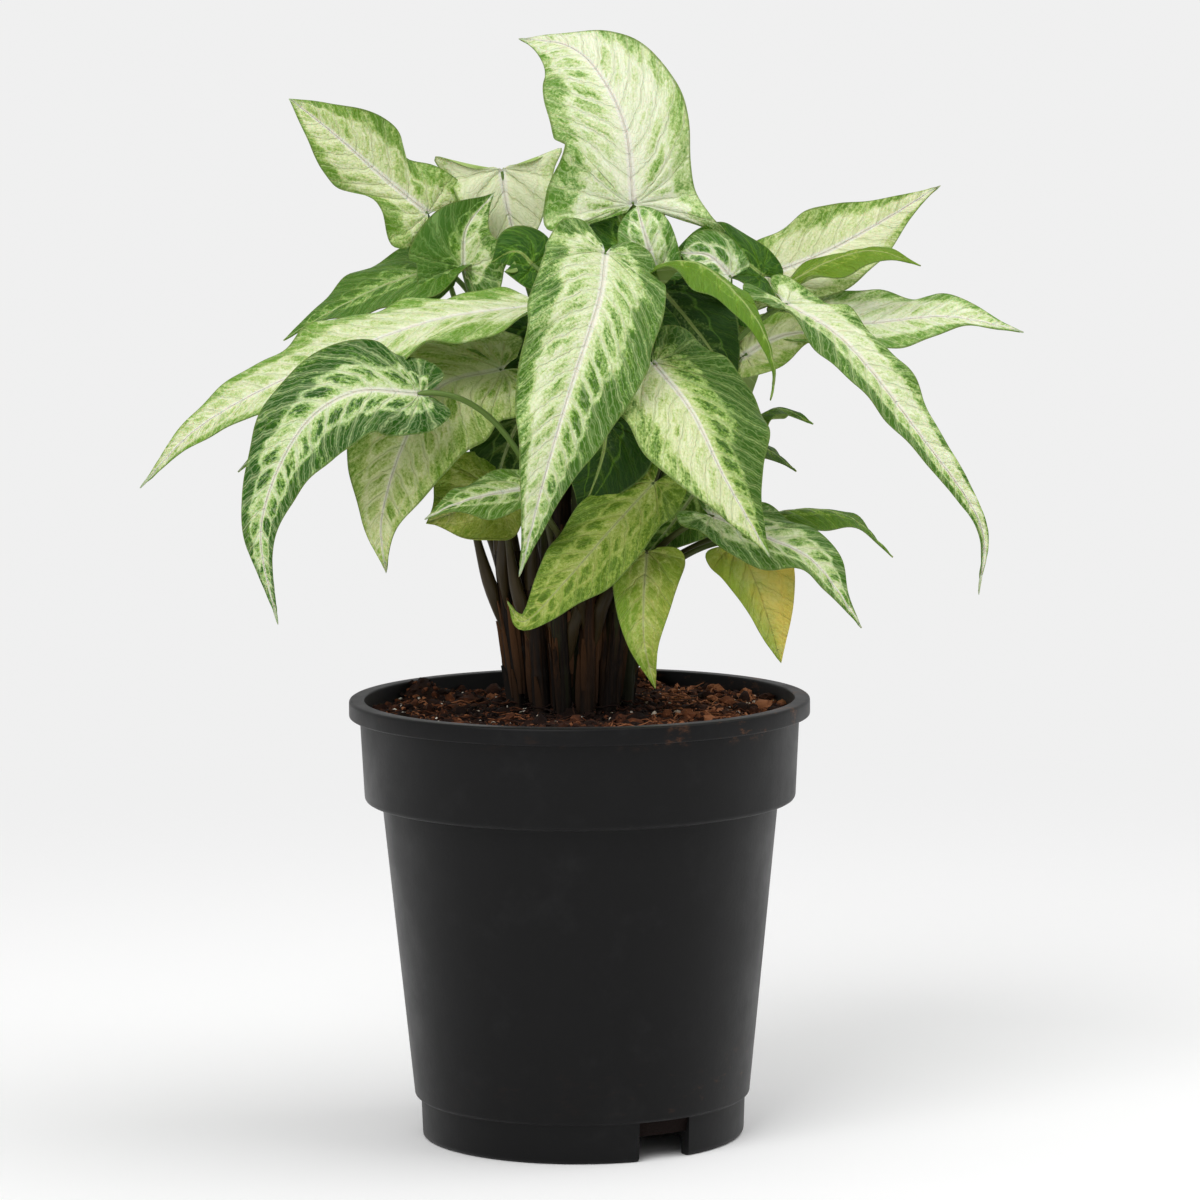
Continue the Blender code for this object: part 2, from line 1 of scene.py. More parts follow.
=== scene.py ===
"""Looks of a potted syngonium: an arrowhead vine with cream-variegated leaves in a nursery pot.

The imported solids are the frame. Each gets a finer piece in the same place: leaves with veined
and quilted blades, striated canes, crumbly soil with perlite, and a moulded pot.
"""

import math
import random
from functools import partial

import bmesh
import bpy
import numpy as np
from mathutils import Matrix, Vector, noise


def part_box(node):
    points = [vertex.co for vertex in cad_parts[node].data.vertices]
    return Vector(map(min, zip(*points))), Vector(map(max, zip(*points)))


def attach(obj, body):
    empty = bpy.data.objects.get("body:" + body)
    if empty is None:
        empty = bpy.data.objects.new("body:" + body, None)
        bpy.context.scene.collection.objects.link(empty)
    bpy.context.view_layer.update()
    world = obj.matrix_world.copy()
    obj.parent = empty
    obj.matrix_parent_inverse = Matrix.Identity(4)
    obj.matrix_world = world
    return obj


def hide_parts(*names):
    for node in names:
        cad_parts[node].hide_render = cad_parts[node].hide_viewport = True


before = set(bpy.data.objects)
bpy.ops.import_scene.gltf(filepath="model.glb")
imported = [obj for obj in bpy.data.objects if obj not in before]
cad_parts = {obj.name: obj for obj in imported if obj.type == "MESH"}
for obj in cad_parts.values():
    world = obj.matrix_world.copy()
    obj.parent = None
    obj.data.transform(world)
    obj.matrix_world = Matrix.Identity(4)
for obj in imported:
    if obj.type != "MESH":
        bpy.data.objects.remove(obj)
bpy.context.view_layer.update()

bl_info = {
    "name": "Potted syngonium",
    "version": (1, 0, 0),
    "blender": (4, 5, 0),
    "location": "View3D > Sidebar > Syngonium",
    "description": "Builds the leaves, canes, soil and pot of an arrowhead vine round its frame",
    "category": "Object",
}

_, POT_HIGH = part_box("pot")
MM = 0.001                 # lengths below are in millimetres

# ---------------------------------------------------------------- the plant's own plan
# Canes: name, foot (x, y) at soil level, top (x, y, z), radius, (darkness, greenness) of its bark.
CANES = (
    ("left_front", (-10.5, -9.5), (-13, -13, 158), 2.5, (0.75, 0.1)),
    ("front_left", (-4.5, -13), (-5.5, -17.5, 155), 2.4, (0.85, 0.25)),
    ("front_right", (2, -12), (3, -16, 162), 2.6, (0.55, 0.15)),
    ("right_front", (8, -8.5), (11, -11.5, 158), 2.5, (0.65, 0.3)),
    ("left", (-17.5, -3.5), (-21.5, -5, 167), 2.3, (0.95, 0.05)),
    ("inner_left", (-7.5, -3), (-10, -2, 178), 2.5, (0.6, 0.2)),
    ("inner_front", (0, -5), (0.5, -6.5, 184), 2.5, (0.45, 0.55)),
    ("right", (12.6, -1.5), (16.5, -2, 164), 2.4, (0.5, 0.55)),
    ("inner_right", (6, -1.5), (8, 0.5, 186), 2.5, (0.35, 0.65)),
    ("back_left", (-12.5, 4), (-18, 9, 165), 2.4, (0.8, 0.1)),
    ("inner_back", (-4, 4.5), (-4.5, 8.5, 188), 2.5, (0.7, 0.2)),
    ("back_right", (9.5, 6), (14.5, 12, 168), 2.4, (0.6, 0.4)),
    ("back", (2.5, 9.5), (3, 17, 170), 2.4, (0.7, 0.2)),
)

# Leaves: name, cane, (width, length of the basal lobes, taper, flare of the lobes), the way that the
# upper side faces at the petiole, (fold along the midrib, twist towards the tip, rise of the petiole)
# in degrees, variegation, and the line of the midrib from the petiole to the tip. The variegation is
# (green share, depth of the green, yellowness, ageing, how much more green the right half has than
# the left, how clear of green the middle is). Zeros at its end are left off. A depth above 1 also
# paints shade over the whole blade, for leaves deep in the crown.
LEAVES = (
    ("top_upright", "inner_right", (37, 14, 1, 1.5), (0, -1, 0.2), (8, 0, 50),
     (0.33, 0.45, 0.15, 0, 0.05, 0.1), ((16, 2, 263), (14, 3, 284), (7, 8, 299), (-2, 18, 307),
      (-16, 28, 309))),
    ("upper_left", "back_left", (25, 10, 1, 1.2), (0.3, -0.9, 0.3), (10, 0, 50),
     (0.5, 0.4, 0.4, 0, -0.03, 0.3), ((-42, 22, 260), (-55, 18, 271), (-68, 13, 283), (-80, 8, 293))),
    ("left_long", "inner_left", (34, 12, 1, 1), (0, -0.12, 1), (6, -45, 50),
     (0.42, 0.2, 0.32, 0, 0, 0.3), ((-10, -12, 236), (-41, -20, 232), (-76, -25, 219), (-104, -22, 204),
      (-122, -15, 186))),
    ("left_edge", "left", (30, 8, 1.2, 1), (0.1, -0.45, 1), (8, 0, 50),
     (0.85, 0.75, 0.3), ((-38, 21, 245), (-54, 20, 240), (-69, 17, 233), (-83, 14, 225))),
    ("left_hanging", "front_left", (29, 8, 1.3, 0.9), (-0.15, -0.85, 0.5), (8, 0, -20),
     (0.66, 1, 0.12), ((-43, -43, 214), (-61, -51, 215), (-76, -54, 204), (-86, -55, 179),
      (-82, -53, 152))),
    ("left_upright", "inner_back", (32, 10, 1.6, 1.1), (-0.2, -0.95, 0.2), (22, 0, 50),
     (0.7, 0.75, 0.25, 0, 0.15), ((-32, 16, 245), (-31, 17, 256), (-23, 19, 266))),
    ("lower_left", "left", (44, 12, 1, 1), (-0.2, -0.7, 0.7), (6, 0, 50),
     (0.4, 0.35, 0.62), ((-21, -10, 218), (-38, -20, 214), (-48, -30, 199), (-54, -35, 179),
      (-53, -36, 164))),
    ("left_behind", "left", (26, 10, 1, 1), (0, -0.3, 1), (10, 0, 30),
     (0.6, 0.7, 0.35), ((-46, -4, 208), (-66, -8, 206), (-83, -10, 199), (-95, -10, 190))),
    ("front_centre", "inner_front", (38, 10, 1, 0.9), (0.4, -0.5, 0.8), (8, -18, 50),
     (0.55, 0.8, 0.22, 0, 0.08, 0.1), ((8, -24, 251), (6, -46, 239), (-2, -61.3, 216), (-9, -67.2, 193),
      (-16, -65.5, 166))),
    ("front_right", "left_front", (42, 12, 1, 1), (0.2, -0.6, 0.8), (8, 0, 40),
     (0.56, 0.95, 0.46, 0, 0.22, 0.35), ((21, -32, 221), (31, -46, 209), (40, -54, 191),
      (52, -56, 170))),
    ("lower_centre", "front_right", (24, 7, 1, 1), (-0.3, -0.9, 0.3), (6, 0, 50),
     (0.66, 0.6, 0.95, 0, 0, 0.2), ((21, -20, 187), (9, -29, 175), (-4, -35, 161), (-15, -33, 150),
      (-20, -26, 155))),
    ("arched", "inner_right", (13, 4, 1, 0.8), (0, -0.16, 1), (-24, 0, 40),
     (0.92, 0.45, 0.65), ((15, -12, 242), (24, -20, 248), (34, -28, 248), (44, -35, 240),
      (51, -39, 230), (54, -40, 219), (53, -39, 211))),
    ("right_long", "right", (20, 12, 1.5, 1.2), (0.3, -0.5, 0.9), (16, 40, 40),
     (0.54, 0.8, 0.22, 0, -0.12, 0.6), ((58, -13, 236), (74, -30, 226), (94, -40, 201), (110, -42, 177),
      (110, -38, 157))),
    ("right_level", "back_right", (29, 10, 1, 1), (0, -0.6, 1), (8, 0, 30),
     (0.42, 0.4, 0.15, 0, 0, 0.4), ((63, 8, 229), (82, 6, 229), (104, 2, 231), (125, -2, 227))),
    ("right_upper", "back_right", (26, 11, 1, 1), (-0.3, -0.9, 0.4), (8, 0, 40),
     (0.36, 0.5, 0.45, 0, 0.08, 0.8), ((54, 18, 242), (70, 20, 248), (87, 22, 257), (103, 20, 267))),
    ("right_narrow", "inner_right", (15, 5, 1, 1), (0, -0.5, 1), (-10, 0, 40),
     (0.88, 0.25, 1), ((60, 6, 241), (71, 1, 247), (83, -3, 250), (96, -6, 246))),
    ("right_small", "right", (17, 6, 1, 1), (0, -0.1, 1), (-16, 0, 30),
     (0.95, 0.95, 0.75), ((46, 2, 201), (56, -2, 206), (66, -6, 202))),
    ("right_pointed", "back", (17, 6, 1, 1), (0, -0.1, 1), (-16, 0, 30),
     (0.95, 0.9, 0.8), ((43, 22, 195), (52, 17, 194), (62, 12, 187))),
    ("low_right_back", "right", (22, 8, 1, 1), (0, -0.05, 1), (-12, 0, 20),
     (0.88, 0.75, 0.7), ((46, -3, 174), (61, -7, 178), (76, -10, 176), (88, -12, 165))),
    ("low_right_front", "right_front", (24, 8, 1, 1), (0.2, -0.6, 0.8), (10, 0, 30),
     (0.6, 0.8, 0.2, 0, 0, 0.1), ((37, -24, 178), (51, -32, 173), (65, -36, 166), (78, -36, 148))),
    ("yellowing", "right_front", (24, 6, 1, 1), (0.1, -1, 0.2), (6, 0, 30),
     (0.4, 0.25, 1, 0.85, 0, 0.5), ((44, -14, 169), (48, -20, 162), (52, -25, 151), (56, -26, 137))),
    ("low_centre", "front_right", (22, 6, 1, 1), (0.1, -1, 0.2), (6, 4, 50),
     (0.66, 0.05, 0.9, 0.15, 0, 0.2), ((19, -22, 168), (18, -29, 157), (18, -34, 144), (21, -34, 131))),
    ("inner_left", "front_right", (18, 8, 1, 1), (-0.1, -0.6, 0.8), (10, 0, 50),
     (0.62, 0.65, 0.3), ((-14, -36, 187), (-24, -41, 186), (-33, -45, 184), (-42, -46, 180))),
    ("inner_hanging", "left_front", (32, 6, 1, 1), (-0.2, -0.9, 0.4), (6, 0, 40),
     (0.55, 0.35, 0.95, 0.15, 0, 0.3), ((-24, -18, 185), (-33, -23, 180), (-42, -27, 177))),
    ("back_pale", "inner_back", (30, 8, 1.4, 1), (0.1, -1, 0.1), (6, 0, 160),
     (0.08, 0.1, 0.35, 0, 0, 0.3), ((-21, 28, 272), (-20, 26, 264), (-18, 25, 255), (-16, 25, 246))),
    ("inner_dark", "inner_left", (18, 6, 1, 1), (0.3, -0.9, 0.4), (8, 0, 0),
     (0.97, 1, 0.3), ((-12, 5, 246), (-17, 6, 250), (-24, 5, 247))),
    ("small_grey", "inner_front", (16, 5, 1, 1), (0, -1, 0.1), (8, 0, 50),
     (0.58, 0.6, 0.08), ((22, -12, 244), (20, -13, 252), (18, -11, 259), (17, -6, 263))),
    ("dark_right", "inner_right", (18, 6, 1, 1), (0, -0.7, 0.7), (8, 0, 50),
     (0.97, 1, 0.35), ((52, 4, 243), (44, 1, 249), (35, -3, 252), (26, -5, 249))),
    ("inner_low", "right_front", (20, 6, 1, 1), (-0.2, -0.9, 0.3), (6, 0, 40),
     (0.85, 0.9, 0.5), ((33, -5, 183), (26, -9, 174), (17, -13, 164))),
    ("centre_shaded", "inner_front", (18, 4, 1, 1), (0.1, -1, 0.3), (8, 0, 40),
     (0.9, 1.3, 0.25), ((19, -9, 231), (21, -12, 226), (21, -14, 219), (18, -14, 210))),
    ("low_shaded", "inner_front", (22, 6, 1, 1), (0.1, -1, 0.4), (8, 0, 40),
     (0.88, 1.3, 0.4), ((15, -10, 207), (9, -13, 205), (3, -14, 200), (-1, -13, 192))),
    ("under_arch", "inner_back", (13, 4, 1, 1), (0, -1, 0.3), (8, 0, 40),
     (0.92, 0.95, 0.15), ((28, 4, 234), (36, 1, 236), (45, -2, 233), (53, -4, 226))),
    ("behind_left", "back_left", (32, 10, 1, 1), (-0.2, 0.3, 1), (8, 0, 30),
     (0.45, 0.55, 0.3, 0, 0, 0.2), ((-27, 37, 212), (-43, 50, 212), (-56, 60, 204), (-64, 69, 190))),
    ("behind_centre", "back", (38, 14, 1, 1), (0, 0.3, 1), (8, 0, 50),
     (0.45, 0.55, 0.3, 0, 0, 0.2), ((0, 32, 226), (-3, 53, 226), (-5, 68, 212), (-6, 75, 188))),
    ("behind_right", "back", (32, 12, 1, 1), (0.2, 0.3, 1), (8, 0, 30),
     (0.45, 0.55, 0.3, 0, 0, 0.2), ((24, 34, 218), (37, 51, 220), (45, 63, 211), (49, 71, 194))),
    ("behind_low", "back", (30, 10, 1, 1), (0, 0.3, 1), (8, 0, 20),
     (0.45, 0.55, 0.3, 0, 0, 0.2), ((4, 34, 176), (8, 50, 175), (12, 62, 166), (14, 69, 150))),
    ("behind_low_left", "back_left", (26, 10, 1, 1), (-0.2, 0.3, 1), (8, 0, 20),
     (0.45, 0.55, 0.3, 0, 0, 0.2), ((-34, 19, 184), (-44, 34, 187), (-50, 46, 182), (-52, 55, 171))),
)

# Young leaves, and leaves darkened by painted shade, in the crown, written like the rows above. They
# are looks alone.
YOUNG_LEAVES = (
    ("young_silver", "inner_right", (15, 4, 1, 1), (0, -0.9, 0.5), (8, 0, 50),
     (0.5, 0.6, 0.05), ((43, -6, 243), (37, -8, 249), (29, -8, 250))),
    ("young_dark", "inner_front", (24, 7, 1, 1), (0.1, -1, 0.2), (10, 0, 50),
     (0.92, 1, 0.2), ((15, 5, 250), (12, 8, 260), (5, 12, 268))),
    ("shaded_left", "front_left", (24, 7, 1.2, 1), (-0.1, -1, 0.3), (8, 0, 40),
     (0.85, 1.4, 0.45), ((-13, -7, 208), (-18, -11, 200), (-22, -13, 188), (-22, -13, 173))),
    ("shaded_right", "right", (28, 8, 1.2, 1), (0.2, -1, 0.3), (8, 0, 40),
     (0.92, 1.4, 0.25), ((24, 1, 239), (31, -3, 231), (39, -6, 220), (44, -6, 206))),
    ("shaded_low", "back", (34, 9, 1.2, 1), (0, -1, 0.3), (8, 0, 40),
     (0.95, 1.5, 0.4), ((-2, 14, 205), (3, 12, 194), (7, 10, 181), (8, 9, 166))),
    ("shaded_front", "front_left", (28, 8, 1.2, 1), (0, -1, 0.3), (8, 0, 40),
     (0.95, 1.5, 0.4), ((8, -17, 203), (7, -21, 195), (4, -22, 186), (0, -21, 177))),
    ("young_pale", "right", (16, 6, 1, 1), (0, -1, 0.2), (8, 0, 40),
     (0.46, 0.05, 0.6, 0, 0, 0.6), ((47, -3, 221), (54, -2, 225), (62, -1, 227), (71, -1, 226))),
    ("shaded_back", "back_left", (30, 8, 1.2, 1), (0, -1, 0.3), (8, 0, 40),
     (0.95, 1.5, 0.3), ((-10, 12, 226), (-16, 12, 216), (-19, 11, 203), (-18, 10, 190))),
)

# Half of the flat blade: (forward, outward) shares, from the sinus round the basal lobe to the tip.
BLADE_OUTLINE = (
    (-0.55, 0.12), (-1.0, 0.42), (-0.70, 0.70), (0.02, 0.86), (0.18, 0.97), (0.34, 1.0),
    (0.50, 0.86), (0.65, 0.60), (0.79, 0.31), (0.91, 0.11), (1.0, 0.0),
)
# Leaves of another outline: that of each half, as shares of length and half width.
ROUND_TIP = ((-0.30, 0.30), (-0.50, 0.80), (0.05, 0.95), (0.30, 1.0), (0.60, 0.94), (0.86, 0.60),
             (1.0, 0.0))
LEAF_OUTLINES = {
    "small_grey": (ROUND_TIP, ROUND_TIP),
    "young_silver": (ROUND_TIP, ROUND_TIP),
    "top_upright": (
        ((-0.15, 0.12), (-0.35, 0.90), (-0.30, 1.36), (0.07, 1.30), (0.20, 1.06), (0.30, 0.95),
         (0.35, 1.08), (0.45, 1.04), (0.60, 0.90), (0.78, 0.52), (0.92, 0.15), (1.0, 0.0)),
        ((-0.15, 0.15), (-0.20, 0.35), (-0.48, 0.85), (-0.75, 1.35), (-0.35, 1.15),
         (0.03, 0.97), (0.17, 0.92), (0.34, 0.98), (0.50, 0.86), (0.65, 0.58), (0.79, 0.23),
         (0.91, 0.07), (1.0, 0.0))),
    "upper_left": (
        ((-0.15, 0.20), (-0.30, 0.70), (0.07, 1.22), (0.24, 0.74), (0.34, 0.64), (0.52, 0.92),
         (0.73, 0.75), (0.90, 0.28), (1.0, 0.0)),
        ((-0.20, 0.20), (-0.70, 0.70), (-0.40, 1.05), (0.12, 1.0), (0.27, 0.78), (0.38, 1.02),
         (0.56, 0.98), (0.80, 0.50), (1.0, 0.0))),
    "back_pale": (
        ((-0.10, 0.15), (-0.12, 0.60), (-0.60, 1.20), (0.05, 1.0), (0.30, 0.86), (0.60, 0.62),
         (0.85, 0.25), (1.0, 0.0)),
        ((-0.10, 0.15), (-0.12, 0.60), (-0.70, 1.25), (0.05, 1.02), (0.30, 0.88), (0.60, 0.62),
         (0.85, 0.25), (1.0, 0.0))),
    "yellowing": (
        ((-0.20, 0.30), (-0.30, 0.80), (0.05, 1.0), (0.32, 0.98), (0.58, 0.70), (0.82, 0.30),
         (1.0, 0.0)),
        ((-0.20, 0.30), (-0.30, 0.70), (0.05, 0.80), (0.25, 0.70), (0.50, 0.46), (0.78, 0.26),
         (1.0, 0.0))),
    "low_centre": (
        ((-0.20, 0.25), (-0.30, 0.80), (0.04, 1.0), (0.25, 0.84), (0.50, 0.60), (0.78, 0.25),
         (1.0, 0.0)),
        ((-0.20, 0.25), (-0.25, 0.75), (0.04, 0.95), (0.25, 0.86), (0.50, 0.64), (0.78, 0.28),
         (1.0, 0.0))),
}
VEIN_SLANT = 1.25          # how far a side vein runs forward for each unit outward
EDGE_DROOP = 0.10          # how far the margin bends down, in shares of half the width


def linear(code):
    """Linear colour of an sRGB hex code such as #A1B2C3."""
    shares = [int(code[at:at + 2], 16) / 255 for at in (1, 3, 5)]
    return tuple(c / 12.92 if c <= 0.04045 else ((c + 0.055) / 1.055) ** 2.4 for c in shares)


# ---------------------------------------------------------------- what a user may change
def amount(title, words, value, **extra):
    """A number that a user may change, whole where its default is."""
    kind = bpy.props.IntProperty if isinstance(value, int) else bpy.props.FloatProperty
    return kind(name=title, description=words, default=value, min=0, **extra)


def colour(title, words, code):
    """A colour that a user may change."""
    return bpy.props.FloatVectorProperty(name=title, description=words, default=linear(code),
                                         subtype="COLOR", size=3, min=0.0, max=1.0)


length = partial(amount, subtype="DISTANCE", unit="LENGTH")
power = partial(amount, subtype="POWER", unit="POWER")


class PotSettings(bpy.types.PropertyGroup):
    lip_radius: length("Lip radius", "Outer radius of the lip", POT_HIGH.x)
    height: length("Height", "From the foot to the top of the lip", POT_HIGH.z)
    lip_height: length("Lip height", "Height of the outer face of the lip", 0.0048)
    notch_width: length("Notch width", "Width of a drain notch", 0.016)
    plastic: colour("Plastic", "Moulded black polypropylene", "#060607")
    scuff: colour("Scuff", "Rubbed and dusty places", "#1E1E1F")
    dirt: colour("Dirt", "Dried soil water below the lip and at the foot", "#8A5A38")


class SoilSettings(bpy.types.PropertyGroup):
    crumbs: amount("Crumbs", "Grains of soil on the surface", 9000)
    perlite: amount("Perlite", "Pale grains on the surface", 420)
    dark: colour("Dark soil", "Damp peat", "#140A07")
    light: colour("Light soil", "Dry coir and bark", "#9A6444")
    grain: colour("Perlite colour", "Expanded volcanic glass", "#E4DED2")


class StemSettings(bpy.types.PropertyGroup):
    ridge: length("Ridge depth", "Depth of the grooves along a cane", 0.00022)
    sheaths: amount("Sheath strips", "Dried strips of leaf sheath on each cane", 9)
    dark: colour("Dark bark", "Old, dry sheaths", "#150D07")
    tan: colour("Tan bark", "Worn sheaths", "#59391D")
    green: colour("Green bark", "Living stem that shows through", "#2E3A1A")


class LeafSettings(bpy.types.PropertyGroup):
    thickness: length("Thickness", "Thickness of the blade", 0.00032)
    vein_spacing: length("Vein spacing", "Distance between side veins at the midrib", 0.0068)
    quilting: length("Quilting", "How far the blade rises between two veins", 0.00065)
    wave: length("Wave", "Height of the waves of the margin", 0.0015)
    petiole: length("Petiole radius", "Radius of the petiole below the blade", 0.0009)
    midrib: colour("Midrib", "Main vein", "#F2EFE2")
    underside: colour("Underside", "Matte lower side", "#AFC97A")
    stalk: colour("Petiole colour", "Petiole", "#768F48")


class StageSettings(bpy.types.PropertyGroup):
    floor: colour("Floor", "Plain pale floor and backdrop", "#EEEEEE")
    camera_lift: amount("Camera lift", "Paper's tone as the camera sees it", 1.02)
    key: power("Key light", "Power of the main lamp", 21.5)
    fill: power("Fill light", "Power of the second lamp", 13.0)
    ambient: amount("Ambient", "Strength of the even light", 0.53)
    focal_length: amount("Focal length", "Lens, in mm", 169.1)


# ---------------------------------------------------------------- nodes
NODE_DEFAULTS = {"Mix": {"data_type": "RGBA"}, "MapRange": {"interpolation_type": "SMOOTHSTEP"}}
LINEAR = {"interpolation_type": "LINEAR"}


def per_metre(size):
    """Scale of a pattern laid out in metres whose features are this many millimetres across."""
    return 1 / (size * MM)


def fill_socket(socket, value):
    """Links a socket to another node's output, or gives it a value. A colour may be a hex code."""
    if isinstance(value, bpy.types.NodeSocket):
        socket.id_data.links.new(value, socket)
        return
    if isinstance(value, str):
        value = linear(value)
    if hasattr(value, "__len__") and len(value) < len(socket.default_value):
        value = (*value, 1.0)
    socket.default_value = value


def add_node(tree, kind, *inputs, out=0, **settings):
    """Adds a node with its settings and links, and gives one of its outputs, or all for None.

    The inputs fill the sockets that are in use, in order, and None leaves one as it is. The name
    of an operation, such as ADD, stands for a maths node, and for a chain of them where a sum or
    a product has more than two inputs.
    """
    if kind in ("ADD", "MULTIPLY") and len(inputs) > 2:
        inputs = (add_node(tree, kind, *inputs[:-1]), inputs[-1])
    if kind.isupper():
        kind, settings = "Math", {"operation": kind}
    node = tree.nodes.new("ShaderNode" + kind)
    for field, value in {**NODE_DEFAULTS.get(kind, {}), **settings}.items():
        setattr(node, field, value)
    for socket, value in zip([socket for socket in node.inputs if socket.enabled], inputs):
        if value is not None:
            fill_socket(socket, value)
    outputs = [socket for socket in node.outputs if socket.enabled]
    return outputs if out is None else outputs[out]


def wire(shader, **values):
    """Sets or links the shader's own sockets, named with _ for each space."""
    for name, value in values.items():
        fill_socket(shader.inputs[name.replace("_", " ")], value)


def new_material(name, **constants):
    """A material whose constants sit on its Principled shader, the function that adds a node to
    it, and the shader."""
    made = bpy.data.materials.new(name)
    made.use_nodes = True
    tree = made.node_tree
    tree.nodes.clear()
    shader = tree.nodes.new("ShaderNodeBsdfPrincipled")
    ending = tree.nodes.new("ShaderNodeOutputMaterial")
    tree.links.new(shader.outputs[0], ending.inputs[0])
    wire(shader, **constants)
    return made, partial(add_node, tree), shader


# ---------------------------------------------------------------- meshes
LAYER_KINDS = {1: ("FLOAT", "value"), 3: ("FLOAT_VECTOR", "vector"), 4: ("FLOAT_COLOR", "color")}


def new_object(name, held):
    """Puts a mesh, lamp or camera into the scene."""
    made = bpy.data.objects.new(name, held)
    bpy.context.scene.collection.objects.link(made)
    return made


def new_mesh(name, points, faces, materials):
    """A smooth mesh, in metres."""
    mesh = bpy.data.meshes.new(name)
    mesh.from_pydata(points, [], faces)
    for made in materials:
        mesh.materials.append(made)
    mesh.shade_smooth()
    return mesh


def new_piece(name, points, faces, materials, slot, nodes=(), face_materials=None, **layers):
    """A piece of the plant from points in millimetres, riding on the frame."""
    points = np.reshape(points, (-1, 3))
    mesh = new_mesh(name, (points * MM).tolist(), faces, materials)
    if face_materials is not None:
        mesh.polygons.foreach_set("material_index", np.asarray(face_materials, np.int32))
    for layer, values in layers.items():
        values = np.reshape(values, (len(points), -1)).astype(np.float32)
        kind, field = LAYER_KINDS[values.shape[1]]
        mesh.attributes.new(layer, kind, "POINT").data.foreach_set(field, values.ravel())
    mesh.set_sharp_from_angle(angle=math.radians(50))
    mesh.update()
    piece = new_object(name, mesh)
    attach(piece, "root")
    if nodes:
        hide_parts(*nodes)
    return piece


def joined(parts):
    """One set of points, faces and layers from many, with the faces numbered on."""
    base, faces = 0, []
    for points, own_faces, *_ in parts:
        faces += [[corner + base for corner in face] for face in own_faces]
        base += len(points)
    points, _, *layers = zip(*parts)
    return np.concatenate(points), faces, *(np.concatenate(layer) for layer in layers)


def unit(vector):
    """The direction of a vector, one unit long."""
    vector = np.asarray(vector, float)
    return vector / np.linalg.norm(vector)


def smooth_line(points, count):
    """Points at even distances along a smooth curve through the given points, and its length."""
    points = np.asarray(points, float)
    ends = np.vstack([2 * points[0] - points[1], points, 2 * points[-1] - points[-2]])
    t = np.linspace(0, 1, 40, endpoint=False)[:, None]
    runs = []
    for before, start, end, after in zip(ends, ends[1:], ends[2:], ends[3:]):
        runs.append(0.5 * (2 * start + (end - before) * t
                           + (2 * before - 5 * start + 4 * end - after) * t ** 2
                           + (3 * start - before - 3 * end + after) * t ** 3))
    fine = np.vstack([*runs, points[-1:]])
    along = np.concatenate([[0], np.cumsum(np.linalg.norm(np.diff(fine, axis=0), axis=1))])
    wanted = np.linspace(0, along[-1], count)
    return np.stack([np.interp(wanted, along, axis) for axis in fine.T], axis=1), along[-1]


def turned(profile, sides):
    """Rings of points round the upright axis, from a profile of (radius, height)."""
    profile = np.asarray(profile, float)
    angles = 2 * np.pi * np.arange(sides) / sides
    return np.stack([profile[:, :1] * np.cos(angles), profile[:, :1] * np.sin(angles),
                     np.repeat(profile[:, 1:], sides, axis=1)], axis=-1)


def tube_points(centres, radii, sides):
    """Rings of points round a line of centres. The radii may differ round each ring."""
    centres = np.asarray(centres, float)
    tangents = np.gradient(centres, axis=0)
    tangents /= np.linalg.norm(tangents, axis=1)[:, None]
    across = np.cross(tangents[0], (0.0, 1.0, 0.0))
    angles = 2 * np.pi * np.arange(sides) / sides
    rings = []
    for centre, tangent, radius in zip(centres, tangents, radii):
        across = unit(across - tangent * np.dot(across, tangent))
        other = np.cross(tangent, across)
        rings.append(centre + np.reshape(radius, (-1, 1)) * (np.cos(angles)[:, None] * across
                                                            + np.sin(angles)[:, None] * other))
    return np.array(rings)


def tube_faces(rows, columns, ends="flat"):
    """Faces of rings of points, closed by flat ends, by fans to two poles, or into a ring."""
    step = np.arange(columns)
    after = (step + 1) % columns
    low = np.arange(rows if ends == "ring" else rows - 1)[:, None] * columns
    high = (low + columns) % (rows * columns)
    last = (rows - 1) * columns
    quads = np.stack([low + step, low + after, high + after, high + step], axis=-1)
    faces = quads.reshape(-1, 4).tolist()
    if ends == "flat":
        faces += [step[::-1].tolist(), (last + step).tolist()]
    if ends == "poles":
        pole = np.full(columns, rows * columns)
        faces += np.stack([after, step, pole], axis=-1).tolist()
        faces += np.stack([last + step, last + after, pole + 1], axis=-1).tolist()
    return faces


# ---------------------------------------------------------------- pot
LIP_OVERHANG = 3.0         # how far the lip stands out from the band
BAND_FOOT_RADIUS = 60.8    # bottom of the tall band below the lip
BAND_BOTTOM = 95.8
BODY_TOP_RADIUS = 56.0
BODY_FOOT_RADIUS = 47.5
FOOT_HEIGHT = 11.6         # height of the recessed foot ring
FOOT_RADIUS = 46.2
WALL = 1.3
FLOOR_TOP = 6.6
FLOOR_THICKNESS = 1.6
FLOOR_MIDDLE = 6.0         # radius of the middle of the floor, which is one flat face
NOTCH_HEIGHT = 11.2
NOTCH_DEPTH = 16.0         # how far the cut goes through the foot ring
NOTCH_ANGLES = (30.0, 150.0, 270.0)     # degrees to the right of the front
POT_SEGMENTS = 180


def rounded(corners, steps=4):
    """A profile of (radius, height, rounding) corners with each corner rounded."""
    profile = []
    for before, corner, after in zip(corners[-1:] + corners[:-1], corners, corners[1:] + corners[:1]):
        here = np.array(corner[:2], float)
        if corner[2] == 0:
            profile.append(tuple(here))
            continue
        start = here + unit(np.array(before[:2]) - here) * corner[2]
        end = here + unit(np.array(after[:2]) - here) * corner[2]
        for t in np.linspace(0, 1, steps + 1):
            profile.append(tuple((1 - t) ** 2 * start + 2 * t * (1 - t) * here + t * t * end))
    return profile


